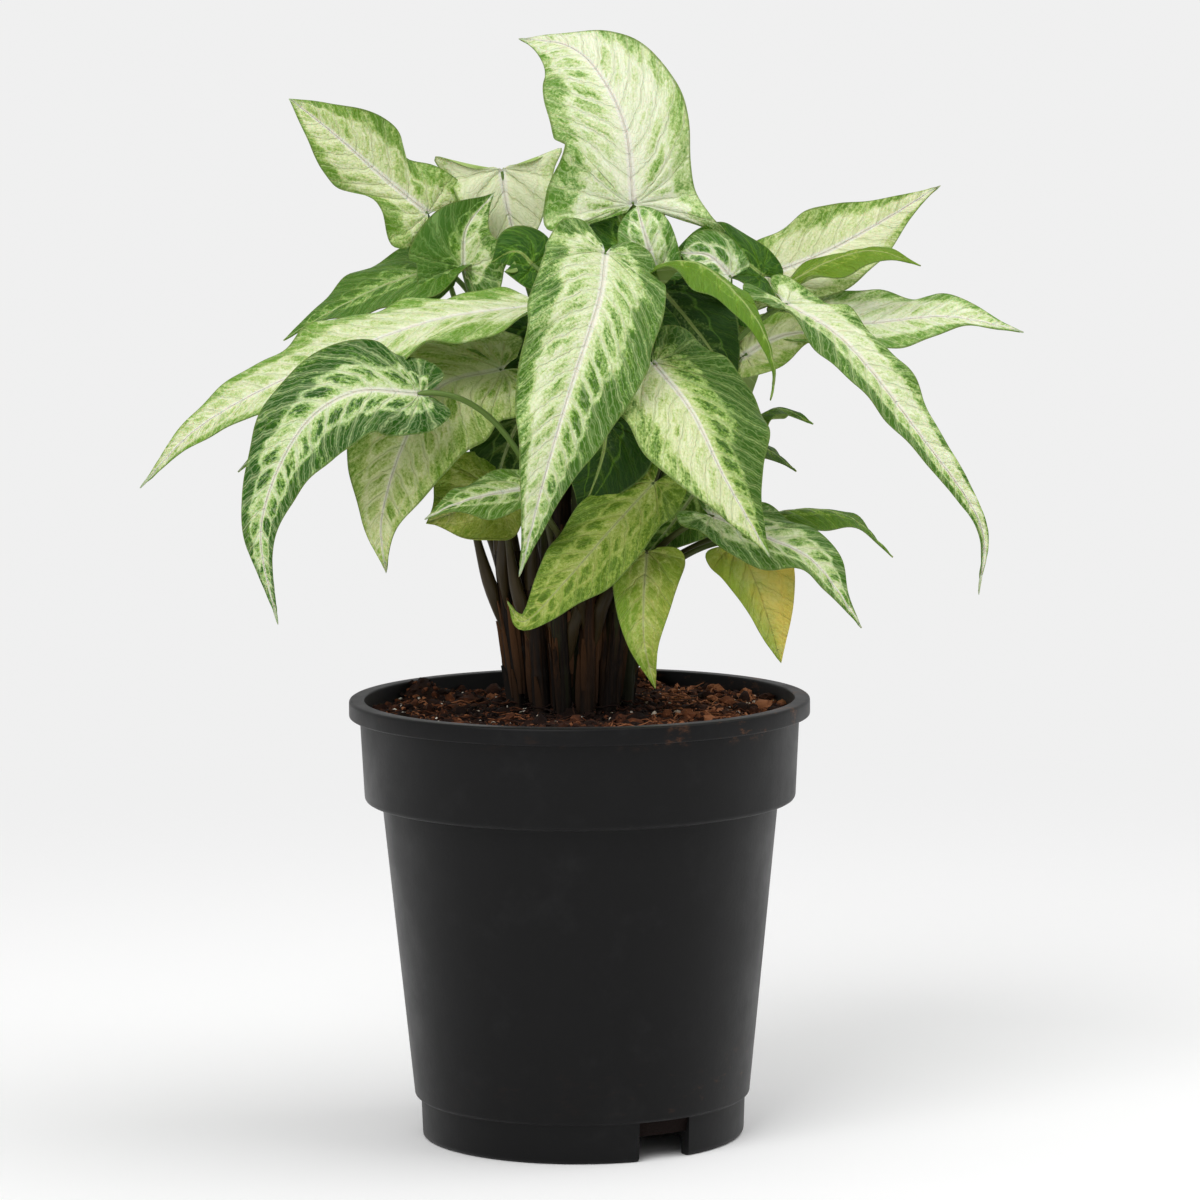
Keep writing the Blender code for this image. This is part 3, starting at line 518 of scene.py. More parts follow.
def pot_profile(settings):
    """Closed profile of the moulded pot, outside first, then the inside and the underside."""
    lip = settings.lip_radius / MM
    top = settings.height / MM
    lip_bottom = top - settings.lip_height / MM
    band_top = lip - LIP_OVERHANG
    return rounded([
        (FOOT_RADIUS - 0.4, 0.0, 1.6),
        (FOOT_RADIUS, FOOT_HEIGHT - 0.5, 0.4),
        (BODY_FOOT_RADIUS, FOOT_HEIGHT + 0.2, 0.5),
        (BODY_TOP_RADIUS, BAND_BOTTOM, 0.3),
        (BAND_FOOT_RADIUS, BAND_BOTTOM, 1.4),
        (band_top, lip_bottom, 0.3),
        (lip, lip_bottom, 0.5),
        (lip, top, 0.9),
        (band_top - WALL, top, 0.5),
        (BAND_FOOT_RADIUS - WALL, BAND_BOTTOM + 0.6, 1.0),
        (BODY_TOP_RADIUS - WALL, BAND_BOTTOM - WALL, 1.0),
        (BODY_FOOT_RADIUS - WALL, FOOT_HEIGHT + 1.0, 0.8),
        (FOOT_RADIUS - WALL - 0.6, FLOOR_TOP, 0.6),
        (FLOOR_MIDDLE, FLOOR_TOP, 0.0),
        (FLOOR_MIDDLE, FLOOR_TOP - FLOOR_THICKNESS, 0.0),
        (FOOT_RADIUS - 4.1, FLOOR_TOP - FLOOR_THICKNESS, 0.4),
        (FOOT_RADIUS - 4.4, 0.0, 0.6),
    ])


def pot_material(settings):
    """Moulded black polypropylene: satin, with a sheen at grazing angles, faint flow
    streaks from the mould, rubbed patches, and dried soil water under the lip and at the foot."""
    made, node, shader = new_material("Moulded black polypropylene", IOR=1.49, Sheen_Weight=0.08,
                                      Specular_IOR_Level=0.20, Sheen_Roughness=0.45)
    place = node("TexCoord", out=3)
    side, _, tall = node("SeparateXYZ", place, out=None)
    flow = (per_metre(11.111), per_metre(11.111), per_metre(142.86))
    flow = node("VectorMath", place, flow, operation="MULTIPLY")
    streaks = node("TexNoise", flow, 1.0, 4.0, 0.6)
    clouds = node("TexNoise", place, per_metre(18.182), 5.0, 0.65)
    worn = node("MapRange", clouds, 0.50, 0.80, 0.0, 0.60)
    base = node("Mix", worn, settings.plastic, settings.scuff)
    faint = node("MapRange", streaks, 0.35, 0.70, 0.86, 1.10, **LINEAR)
    base = node("Mix", 1.0, base, faint, blend_type="MULTIPLY")
    under_lip = node("MapRange", tall, 0.1165, 0.1200, 0.0, 0.9)
    at_foot = node("MapRange", tall, 0.034, 0.018, 0.0, 0.4)
    at_foot = node("MULTIPLY", at_foot, node("MapRange", tall, 0.012, 0.015, **LINEAR))
    drops = (per_metre(7.692), per_metre(7.692), per_metre(3.846))
    drops = node("VectorMath", place, drops, operation="MULTIPLY")
    splashes = node("MapRange", node("TexNoise", drops, 1.0, 6.0, 0.7), 0.55, 0.74, 0.0, 0.7)
    on_right = node("MapRange", side, 0.0, 0.055, 0.08, 1.0)
    soiled = node("MULTIPLY", node("MAXIMUM", under_lip, at_foot), splashes, on_right)
    rough = node("MapRange", clouds, 0.3, 0.7, 0.36, 0.52, **LINEAR)
    # The mould's own grain is finer than 1.1 mm. It is drawn that coarse so that it shows.
    raised = node("ADD", node("TexNoise", place, per_metre(1.1111), 2.0), streaks)
    wire(shader, Base_Color=node("Mix", soiled, base, settings.dirt), Roughness=rough,
         Normal=node("Bump", 0.10, 0.0002, None, raised))
    return made


class SYNGONIUM_OT_build_pot(bpy.types.Operator):
    """Builds the moulded pot with its lip, band and drain notches"""
    bl_idname = "syngonium.build_pot"
    bl_label = "Build the pot"

    def execute(self, context):
        settings = context.scene.syngonium_pot
        profile = pot_profile(settings)
        pot = new_piece("nursery_pot", turned(profile, POT_SEGMENTS),
                        tube_faces(len(profile), POT_SEGMENTS, "ring"),
                        [pot_material(settings)], "pot_plastic", ["pot"])
        shell = bmesh.new()
        shell.from_mesh(pot.data)
        reach = (FLOOR_MIDDLE + 0.1) * MM
        wall = [face for face in shell.faces if all(v.co.xy.length < reach for v in face.verts)]
        bmesh.ops.delete(shell, geom=wall, context="FACES_ONLY")
        rims = [edge for edge in shell.edges if edge.is_boundary]
        bmesh.ops.holes_fill(shell, edges=rims, sides=0)
        bmesh.ops.recalc_face_normals(shell, faces=shell.faces)
        shell.to_mesh(pot.data)
        shell.free()
        self.cut_notches(pot, settings.notch_width)
        pot.data.shade_smooth()
        pot.data.set_sharp_from_angle(angle=math.radians(40))
        return {"FINISHED"}

    @staticmethod
    def cut_notches(pot, width):
        """Opens the drain notches through the foot ring."""
        low, high = -2 * MM, NOTCH_HEIGHT * MM
        cutters = []
        for angle in NOTCH_ANGLES:
            turn = Matrix.Rotation(math.radians(angle - 90), 4, "Z")
            centre = Matrix.Translation(((FOOT_RADIUS - 4) * MM, 0, (low + high) / 2))
            block = turn @ centre @ Matrix.Diagonal((NOTCH_DEPTH * MM, width, high - low, 1))
            box = bmesh.new()
            bmesh.ops.create_cube(box, matrix=block)
            mesh = bpy.data.meshes.new("drain_notch_cutter")
            box.to_mesh(mesh)
            box.free()
            cutter = new_object("drain_notch_cutter", mesh)
            cutter.hide_render = True
            cut = pot.modifiers.new("drain_notch", "BOOLEAN")
            cut.operation = "DIFFERENCE"
            cut.object = cutter
            cutters.append(cutter)
        bpy.context.view_layer.update()
        finished = pot.evaluated_get(bpy.context.evaluated_depsgraph_get())
        pot.data = bpy.data.meshes.new_from_object(finished)
        pot.modifiers.clear()
        for cutter in cutters:
            bpy.data.objects.remove(cutter, do_unlink=True)


# ---------------------------------------------------------------- soil
SOIL_LEVEL = 119.6
SOIL_MOUND = 2.6
SOIL_MOUND_SPREAD = 30.0
SOIL_CLODS = ((-6, -56, 4.2, 17), (-45, 36, 5.5, 6), (16, 54, 4.0, 7), (42, 24, 1.2, 14))
CROWN = (-3.0, 0.0)        # middle of the clump of stems
SOIL_EDGE = 60.0
SOIL_RINGS = 53
SOIL_SEGMENTS = 150
CLOD_SHARE = 22            # loose crumbs for each clod
FIBRES = 230
FIBRE_SPREAD = 48.0        # how far from the middle the fibres start


def soil_height(x, y):
    """Level of the soil: a low mound at the stems, clods, and crumbs against the rim."""
    radius = np.hypot(x - CROWN[0], y - CROWN[1])
    level = SOIL_LEVEL + SOIL_MOUND * np.exp(-(radius / SOIL_MOUND_SPREAD) ** 2)
    level = level + 0.5 * np.sin(0.21 * x + 1.0) * np.cos(0.17 * y)
    level = level + 0.3 * np.sin(0.34 * y + 0.2 * x)
    for cx, cy, height, spread in SOIL_CLODS:
        level = level + height * np.exp(-((x - cx) ** 2 + (y - cy) ** 2) / spread ** 2)
    return level


def soil_material(settings, name="Peat and coir potting soil"):
    """Damp peat with dry coir and bark: each grain has its own tone, none of them glossy."""
    made, node, shader = new_material(name, Roughness=0.95, Specular_IOR_Level=0.2)
    place = node("TexCoord", out=3)
    tone = node("Attribute", out=2, attribute_name="grain_tone")
    coarse = node("TexNoise", place, per_metre(3.846), 5.0, 0.7)
    side, _, tall = node("SeparateXYZ", place, out=None)
    # Painted light: the soil is lighter towards +X, the side that the lamps light more.
    painted_light_right = node("MapRange", side, 0.0, 0.035, 0.0, 0.26)
    level = node("VectorMath", place, (1.0, 1.0, 0.0), operation="MULTIPLY")
    from_crown = node("VectorMath", level, operation="LENGTH")
    # Painted shade, and moister soil: darker towards the clump of stems, under the leaves.
    damp_and_painted_shade = node("MapRange", from_crown, 0.038, 0.016, 0.0, 0.36)
    mixed = node("SUBTRACT", node("ADD", tone, coarse, painted_light_right), damp_and_painted_shade)
    # Painted shade, and moister soil: near black low in the pot, in the recess that the drain notches
    # open.
    soaked_and_painted_shade = node("MapRange", tall, 0.040, 0.020, 0.0, 1.3, **LINEAR)
    mixed = node("MapRange", node("SUBTRACT", mixed, soaked_and_painted_shade), 0.45, 1.45, **LINEAR)
    ramp = node("ValToRGB", mixed)
    stops = ramp.node.color_ramp.elements
    stops[0].color = (*settings.dark, 1.0)
    stops[1].color = (*settings.light, 1.0)
    for at, code in ((0.40, "#23130D"), (0.66, "#3E2317"), (0.88, "#6B3E26")):
        stops.new(at).color = (*linear(code), 1.0)
    # Peat's own fibres are finer than 0.7 mm. They are drawn that coarse so that they show.
    rough = node("TexNoise", place, per_metre(0.7143), 3.0)
    wire(shader, Base_Color=ramp, Normal=node("Bump", 0.7, 0.0004, None, rough))
    return made


def perlite_material(settings):
    """Expanded perlite: pale, porous and matte, stained by the peat in its hollows."""
    made, node, shader = new_material("Expanded perlite grains", Roughness=0.9)
    stain = node("TexNoise", node("TexCoord", out=3), per_metre(1.4286), 4.0, 0.7)
    tone = node("Attribute", out=2, attribute_name="grain_tone")
    mixed = node("MapRange", node("ADD", stain, tone), 0.5, 1.3, 0.75, 0.0, **LINEAR)
    wire(shader, Base_Color=node("Mix", mixed, settings.grain, "#A58363"))
    return made


def round_grain(detail):
    """Corners and faces of a ball of triangles, one unit in radius."""
    ball = bmesh.new()
    bmesh.ops.create_icosphere(ball, subdivisions=detail, radius=1.0)
    points = np.array([v.co[:] for v in ball.verts])
    faces = [[v.index for v in face.verts] for face in ball.faces]
    ball.free()
    return points, faces


def scattered(rng, count, size, detail, bite, flat):
    """Points, faces and tones of many irregular grains lying on the soil."""
    ball, ball_faces = round_grain(detail)
    grains = []
    for _ in range(count):
        radius = SOIL_EDGE * math.sqrt(rng.random())
        angle = 2 * math.pi * rng.random()
        x, y = radius * math.cos(angle), radius * math.sin(angle)
        big = size[0] * (size[1] / size[0]) ** (rng.random() ** 2.2)
        stretch = np.array([rng.uniform(0.7, 1.5), rng.uniform(0.7, 1.2), rng.uniform(*flat)])
        rough = 1 + bite * np.array([rng.uniform(-1, 1) for _ in ball])
        turn = np.array(Matrix.Rotation(rng.uniform(0, 6.28), 3, "Z")
                        @ Matrix.Rotation(rng.uniform(-0.6, 0.6), 3, "X"))
        shape = (ball * rough[:, None] * stretch * big) @ turn.T
        place = (x, y, soil_height(x, y) + big * rng.uniform(0.0, 0.45))
        grains.append((shape + place, ball_faces, np.full(len(ball), rng.random())))
    return joined(grains)


def fibres(rng, starts, reach, radius):
    """Thin bent fibres from the given starts, as closed tubes."""
    strands = []
    for x, y, z in starts:
        heading = rng.uniform(0, 2 * math.pi)
        span = rng.uniform(*reach)
        bend = rng.uniform(-0.8, 0.8)
        line = [(x, y, z)]
        for _ in range(4):
            heading += bend * 0.5
            x += span / 4 * math.cos(heading)
            y += span / 4 * math.sin(heading)
            line.append((x, y, max(z + rng.uniform(-0.5, 1.0), soil_height(x, y) + 0.2)))
        points = tube_points(line, radius * np.array((1, 1, 1, 0.8, 0.4)), 4).reshape(-1, 3)
        strands.append((points, tube_faces(5, 4), np.full(len(points), rng.uniform(0.3, 1.0))))
    return joined(strands)


class SYNGONIUM_OT_build_soil(bpy.types.Operator):
    """Builds the soil: its crumbly surface, loose crumbs, perlite grains and fibres"""
    bl_idname = "syngonium.build_soil"
    bl_label = "Build the soil"

    def execute(self, context):
        settings = context.scene.syngonium_soil
        rng = random.Random(11)
        peat = soil_material(settings)
        profile = [(FOOT_RADIUS - WALL - 0.9, FLOOR_TOP + 0.3),
                   (BODY_FOOT_RADIUS - WALL - 0.3, FOOT_HEIGHT + 1.3),
                   (BODY_TOP_RADIUS - WALL - 0.3, BAND_BOTTOM - WALL),
                   (BAND_FOOT_RADIUS - WALL - 0.3, BAND_BOTTOM + 0.9),
                   (SOIL_EDGE, SOIL_LEVEL - 3)]
        inward = np.linspace(1.0, 0.0, SOIL_RINGS, endpoint=False)
        profile += [(SOIL_EDGE * share, SOIL_LEVEL) for share in inward]
        grid = turned(profile, SOIL_SEGMENTS)
        for point in grid[-SOIL_RINGS:].reshape(-1, 3):
            at = Vector((point[0], point[1], 0.0))
            point[2] = soil_height(point[0], point[1])
            for depth, size in ((1.1, 6.0), (0.7, 2.4), (0.4, 1.1)):
                point[2] += depth * noise.noise(at / size)
        poles = [(0.0, 0.0, FLOOR_TOP + 0.3), (0.0, 0.0, soil_height(0.0, 0.0))]
        points = np.vstack([grid.reshape(-1, 3), poles])
        new_piece("soil_surface", points, tube_faces(len(grid), SOIL_SEGMENTS, "poles"), [peat],
                  "potting_soil", ["soil"], grain_tone=np.full(len(points), 0.32))
        for name, made, tone, *grains in (
                ("soil_crumbs", peat, 1.0, settings.crumbs, (0.28, 1.05), 1, 0.42, (0.55, 1.0)),
                ("soil_clods", peat, 0.8, settings.crumbs // CLOD_SHARE, (0.9, 2.6), 2, 0.34,
                 (0.55, 1.0)),
                ("perlite_grains", perlite_material(settings), 1.0, settings.perlite,
                 (0.25, 0.85), 1, 0.2, (0.7, 1.1))):
            points, faces, tones = scattered(rng, *grains)
            new_piece(name, points, faces, [made], "potting_soil", grain_tone=tones * tone)
        starts = []
        for _ in range(FIBRES):
            radius, angle = FIBRE_SPREAD * math.sqrt(rng.random()), rng.uniform(0, 6.28)
            x, y = radius * math.cos(angle), radius * math.sin(angle)
            starts.append((x, y, soil_height(x, y) + 0.6))
        points, faces, tones = fibres(rng, starts, (5.0, 14.0), 0.22)
        new_piece("coir_fibres", points, faces, [soil_material(settings, "Coir fibre")],
                  "potting_soil", grain_tone=tones)
        return {"FINISHED"}


# ---------------------------------------------------------------- canes
CANE_DEPTH = 16.0
CANE_SIDES = 48
CANE_ROWS = 61
CANE_SHIFT = 70.0          # along the pattern of the bark, from one cane to the next
FIRST_NODE = (7.0, 12.0)   # height above the soil
NODE_SPACING = (9.0, 16.0)
RIDGE_LENGTH = 22.0        # of a groove along the cane
RIDGE_TURN = 2.2           # how often the grooves change round the cane
AIR_ROOTS = 5              # on each cane


def cane_line(foot, top):
    """Line of a cane: straight down in the soil, then leaning from the soil to its top."""
    level = np.array((*foot, float(soil_height(*foot))))
    return np.array([level - (0, 0, CANE_DEPTH), level, np.array(top, float)])


def bark_material(settings):
    """Old sheaths dried on a living stem: fibrous streaks of dark, tan and green along it."""
    made, node, shader = new_material("Dry leaf sheath bark", Roughness=0.68,
                                      Specular_IOR_Level=0.25)
    grid = node("Attribute", out=1, attribute_name="bark_grid")
    tint = node("Attribute", out=1, attribute_name="bark_tint")
    darkness, greenness, _ = node("SeparateXYZ", tint, out=None)
    # Fibres 0.7 mm wide and 14 mm long, and patches 2.2 mm wide and 22 mm long.
    fibre = (1 / 0.6667, 1 / 0.6667, 1 / 14.286)
    patch = (1 / 2.2222, 1 / 2.2222, 1 / 22.222)
    fine, broad = (
        node("TexNoise", node("VectorMath", grid, size, operation="MULTIPLY"), 1.0, detail, rough)
        for size, detail, rough in ((fibre, 5.0, 0.65), (patch, 3.0, 0.6)))
    wear = node("MapRange", node("SUBTRACT", node("ADD", fine, broad), darkness), 0.10, 0.80)
    base = node("Mix", wear, settings.dark, settings.tan)
    living = node("MapRange", node("ADD", broad, greenness), 0.72, 1.0, 0.0, 0.85)
    base = node("Mix", living, base, settings.green)
    tall = node("SeparateXYZ", node("TexCoord", out=3), out=2)
    # Painted shade, and moister bark: the canes darken towards the soil, under the crown of leaves.
    bark_damp_and_painted_shade = node("MapRange", tall, 0.150, 0.119, 0.0, 0.85)
    wire(shader, Base_Color=node("Mix", bark_damp_and_painted_shade, base, "#0E0804"),
         Normal=node("Bump", 0.55, 0.0004, None, fine))
    return made


def dried_sheaths(rng, count):
    """Strips of old leaf sheath that cling to the canes and peel away at their upper ends."""
    strips = []
    for number, (_, foot, top, radius, _) in enumerate(CANES):
        line, _ = smooth_line(cane_line(foot, top), CANE_ROWS)
        for _ in range(count):
            first = rng.randrange(11, 34)
            steps = min(rng.randrange(14, 30), len(line) - first)
            turn = rng.uniform(0, 2 * math.pi)
            sway = rng.uniform(-0.5, 0.5)
            peel = rng.uniform(0.0, 1.6)
            width = rng.uniform(0.45, 1.15)
            way = np.linspace(0, 1, steps)
            angle = turn + sway * way
            away = radius + 0.22 + peel * way ** 3
            outward = np.stack([away * np.cos(angle), away * np.sin(angle), 0 * way], axis=1)
            wide = width * (0.25 + 0.75 * np.sin(np.pi * np.minimum(1.0, 0.15 + 0.8 * way)))
            thick = np.full(steps, 0.24)
            rings = tube_points(line[first:first + steps] + outward,
                                np.stack([wide, thick, wide, thick], axis=1), 4)
            grid = rings - line[first] + (0, 0, CANE_SHIFT * number + 9 * turn)
            tint = np.tile((rng.uniform(-0.05, 0.75), 0.0, 0.0), (4 * steps, 1))
            strips.append((rings.reshape(-1, 3), tube_faces(steps, 4), grid.reshape(-1, 3), tint))
    return joined(strips)


class SYNGONIUM_OT_build_stems(bpy.types.Operator):
    """Builds the canes with their ridges, nodes and dried sheaths, and the air roots"""
    bl_idname = "syngonium.build_stems"
    bl_label = "Build the stems"

    def execute(self, context):
        settings = context.scene.syngonium_stems
        rng = random.Random(5)
        bark = bark_material(settings)
        for number, (name, foot, top, radius, tint) in enumerate(CANES):
            line, span = smooth_line(cane_line(foot, top), CANE_ROWS)
            heights = np.linspace(0, span, CANE_ROWS)
            nodes = [CANE_DEPTH + rng.uniform(*FIRST_NODE)]
            while nodes[-1] < span - 5:
                nodes.append(nodes[-1] + rng.uniform(*NODE_SPACING))
            above = heights[:, None] - nodes[:-1]
            swell = np.exp(-(above / 1.1) ** 2).sum(axis=1)
            pinch = np.exp(-(above - 2.2) ** 2).sum(axis=1)
            narrow = 1 - 0.10 * np.maximum(0, (heights / span - 0.85) / 0.15)
            places = turned([(RIDGE_TURN, height / RIDGE_LENGTH + 9 * number)
                             for height in heights], CANE_SIDES)
            ridges = np.array([[noise.noise(Vector(at) * 1.6) + 0.6 * noise.noise(Vector(at) * 3.4)
                                for at in row] for row in places])
            radii = (radius * narrow * (1 + 0.05 * swell - 0.04 * pinch))[:, None] \
                + settings.ridge / MM * ridges
            rings = tube_points(line, radii, CANE_SIDES)
            points = np.vstack([rings.reshape(-1, 3), line[:1], line[-1:]])
            shift = CANE_SHIFT * number
            grid = turned([(radius, height + shift) for height in heights], CANE_SIDES)
            grid = np.vstack([grid.reshape(-1, 3), [(0, 0, shift), (0, 0, span + shift)]])
            new_piece(f"cane_{name}_bark", points, tube_faces(CANE_ROWS, CANE_SIDES, "poles"),
                      [bark], "stem", [f"cane_{name}"], bark_grid=grid,
                      bark_tint=np.tile((*tint, 0.0), (len(points), 1)))
        points, faces, grid, tint = dried_sheaths(rng, settings.sheaths)
        new_piece("dried_sheath_strips", points, faces, [bark], "stem", bark_grid=grid,
                  bark_tint=tint)
        starts = []
        for _, foot, top, radius, _ in CANES:
            level = cane_line(foot, top)[1]
            for _ in range(AIR_ROOTS):
                angle = rng.uniform(0, 2 * math.pi)
                starts.append((level[0] + (radius + 0.5) * math.cos(angle),
                               level[1] + (radius + 0.5) * math.sin(angle),
                               level[2] + rng.uniform(0.5, 2.0)))
        points, faces, tones = fibres(rng, starts, (4.0, 11.0), 0.3)
        dry = soil_material(context.scene.syngonium_soil, "Dry air roots")
        new_piece("air_roots", points, faces, [dry], "stem", grain_tone=tones)
        return {"FINISHED"}


# ---------------------------------------------------------------- leaves
MIDRIB_STEPS = 120
ROW_LENGTH = 1.15          # along the margin, between two rows of points
GROOVE = (0.28, 0.9)       # depth and half width of the groove above the midrib
RIDGE = (0.55, 0.35)       # height of the midrib below the blade, and of its flanks
PETIOLE_RINGS = 46
PETIOLE_SIDES = 12
PETIOLE_STEP = 0.13        # drop from one petiole to the next, in shares of the cane
PETIOLE_LEAN = 0.35        # how much a side petiole leans out where it leaves the cane
PETIOLE_EASE = (0.42, 0.30)
PETIOLE_GAP = 1.3          # from the side of a cane to the middle of a side petiole
SHEATH = (2.1, 12.0)       # radius of the sheath at the cane, and how soon it narrows
SHEATH_REACH = 13.0        # how far a side petiole's sheath clasps the cane below it
STALK_OVERLAP = 0.6        # how far a stalk reaches into its blade
STALK_SHIFT = 300.0        # along the pattern of the stalks, from one leaf to the next
WAVES = ((27.0, 1.0), (15.0, 0.45), (46.0, 0.9))     # length and height of the margin's waves


def blade_margin(size, shape, rows, own_outline):
    """Evenly spaced (forward, outward) points round half of the flat blade."""
    width, lobe, taper, flare = shape
    if own_outline:
        taper = flare = 1
    outline = [(along * lobe, out * flare * width / 2, 0.0) if along < 0
               else (along ** taper * size, out * width / 2, 0.0)
               for along, out in own_outline or BLADE_OUTLINE]
    line, span = smooth_line(outline, rows)
    return line[:, :2], span


def blade_frames(midrib, face, twist):
    """Tangent, upward normal and sideways direction along the midrib."""
    tangents = np.gradient(midrib, axis=0)
    tangents /= np.linalg.norm(tangents, axis=1)[:, None]
    normals, normal = [], np.asarray(face, float)
    for tangent in tangents:
        normal = unit(normal - tangent * np.dot(normal, tangent))
        normals.append(normal)
    normals = np.array(normals)
    sideways = np.cross(tangents, normals)
    turn = np.radians(twist) * np.linspace(0, 1, len(midrib))[:, None]
    return (tangents, normals * np.cos(turn) + sideways * np.sin(turn),
            sideways * np.cos(turn) - normals * np.sin(turn))


def blade_faces(starts, rows, columns):
    """Faces of both halves of a blade. They share the midrib, and each ends in the tip."""
    moved = np.concatenate([[True], np.abs(np.diff(starts)) > 1e-6])
    same = np.maximum.accumulate(np.where(moved, np.arange(rows), 0))
    index = np.arange(rows * columns).reshape(rows, columns)
    faces = []
    for half, way in ((0, -1), (1, 1)):
        mapped = index + half * rows * columns
        mapped[:, 0] = index[same, 0]
        mapped[-1] = index[same[-1], 0]
        for low, high in zip(mapped.tolist(), mapped[1:].tolist()):
            for quad in zip(low, low[1:], high[1:], high):
                ring = list(dict.fromkeys(quad))
                if len(ring) > 2:
                    faces.append(ring[::way])
    return faces


def build_blade(midrib_points, shape, face, bend, settings, seed, outlines):
    """Points, faces and layers of a blade: upper side, underside and the edge between them."""
    midrib, size = smooth_line(midrib_points, MIDRIB_STEPS)
    tangents, normals, sideways = blade_frames(midrib, face, bend[1])
    stations = np.linspace(0, size, len(midrib))
    lift = math.radians(bend[0])
    half_width = shape[0] / 2
    spacing = settings.vein_spacing / MM
    phases = np.random.default_rng(seed).uniform(0, 2 * np.pi, 8)

    span = blade_margin(size, shape, 200, outlines[0])[1]
    rows = int(np.clip(span / ROW_LENGTH, 44, 130))
    margins = [blade_margin(size, shape, rows, outline)[0] for outline in outlines]
    columns = int(np.clip(half_width, 9, 24)) + 1
    mean = (margins[0] + margins[1]) / 2
    starts = np.maximum.accumulate(np.clip(mean[:, 0] - VEIN_SLANT * mean[:, 1], 0, size))
    shares = np.linspace(0, 1, columns) ** 0.92
    run = np.linspace(0, span, rows)
    fan = np.where(starts > 0, starts / spacing, 0.0)
    first = np.argmax(starts > 0) if (starts > 0).any() else rows
    fan[:first] = (run[:first] - run[max(first - 1, 0)]) / (1.45 * spacing)

    points, flat, grid = [], [], []
    for side, margin, turns in zip((-1, 1), margins, (phases[:3], phases[4:7])):
        along = starts[:, None] + (margin[:, :1] - starts[:, None]) * shares ** 1.25
        out = margin[:, 1:] * shares
        reach = np.clip(out / half_width, 0, 1.3)
        at = np.clip(along, 0, size)
        base, normal, across = (
            np.stack([np.interp(at, stations, axis) for axis in lines.T], axis=-1)
            for lines in (midrib, normals, sideways))
        base = base + tangents[0] * np.minimum(along, 0)[..., None]
        rise = out * math.sin(lift) - EDGE_DROOP * out * out / half_width
        for (wavelength, height), turn in zip(WAVES, turns):
            rise = rise + settings.wave / MM * height * shares ** 2.0 * reach \
                * np.sin(2 * np.pi * run[:, None] / wavelength + turn)
        between = np.abs(np.sin(np.pi * fan[:, None])) ** 0.7
        rise = rise + settings.quilting / MM * (between - 0.5) * np.sin(np.pi * shares ** 0.8)
        rise = rise - GROOVE[0] * np.exp(-(out / GROOVE[1]) ** 2) * (out >= 0)
        points.append(base + across * (side * out * math.cos(lift))[..., None]
                      + normal * rise[..., None])
        flat.append(np.stack([along, side * out, np.clip(along / size, 0, 1)], axis=-1))
        grid.append(np.stack(np.broadcast_arrays(fan[:, None], side * shares, float(seed)), axis=-1))

    faces = blade_faces(starts, rows, columns)
    used = np.unique([corner for ring in faces for corner in ring])
    renumber = dict(zip(used.tolist(), range(len(used))))
    faces = [[renumber[corner] for corner in ring] for ring in faces]
    points, flat, grid = (np.reshape(layer, (-1, 3))[used] for layer in (points, flat, grid))

    facing = np.zeros_like(points)
    for ring in faces:
        corner = points[ring]
        facing[ring] += np.cross(corner, np.roll(corner, -1, axis=0)).sum(axis=0)
    facing /= np.maximum(np.linalg.norm(facing, axis=1), 1e-9)[:, None]
    edges = dict.fromkeys(edge for ring in faces for edge in zip(ring, ring[1:] + ring[:1]))
    rim = [(here, there) for here, there in edges if (there, here) not in edges]
    half = settings.thickness / MM / 2
    ridge = np.where(grid[:, 1] == 0, *RIDGE) * np.exp(-flat[:, 1] ** 2)
    ridge *= 1 - 0.75 * flat[:, 2]
    upper = points + facing * half
    lower = points - facing * (half + ridge)[:, None]
    total = len(points)
    solid = list(faces)
    solid += [[corner + total for corner in reversed(ring)] for ring in faces]
    solid += [[there, here, here + total, there + total] for here, there in rim]
    kinds = [0] * len(faces) + [1] * len(faces) + [0] * len(rim)
    layers = (np.vstack([flat, flat]), np.vstack([grid, grid]))
    return (np.vstack([upper, lower]), solid, *layers), kinds, normals[0], tangents[0]


def petiole_roots():
    """Where each petiole starts on its cane, and its direction there.

    The highest leaf of a cane grows from its top, and the others leave its side below.
    """
    roots = {}
    up = np.array((0.0, 0.0, 1.0))
    for cane, foot, top, radius, _ in CANES:
        _, level, top = cane_line(foot, top)
        carried = sorted((row for row in LEAVES if row[1] == cane), key=lambda row: -row[6][0][2])
        carried += [row for row in YOUNG_LEAVES if row[1] == cane]
        for place, row in enumerate(carried):
            if place == 0:
                roots[row[0]] = (top - 1.2 * up, unit(top - level), None)
                continue
            axis = top + (level - top) * PETIOLE_STEP * place
            outward = unit((np.array(row[6][0], float) - axis) * (1, 1, 0))
            below = axis + unit(level - top) * SHEATH_REACH
            roots[row[0]] = (axis + outward * (radius + PETIOLE_GAP),
                             unit(up + PETIOLE_LEAN * outward), below + outward * (radius - 0.9))
    return roots


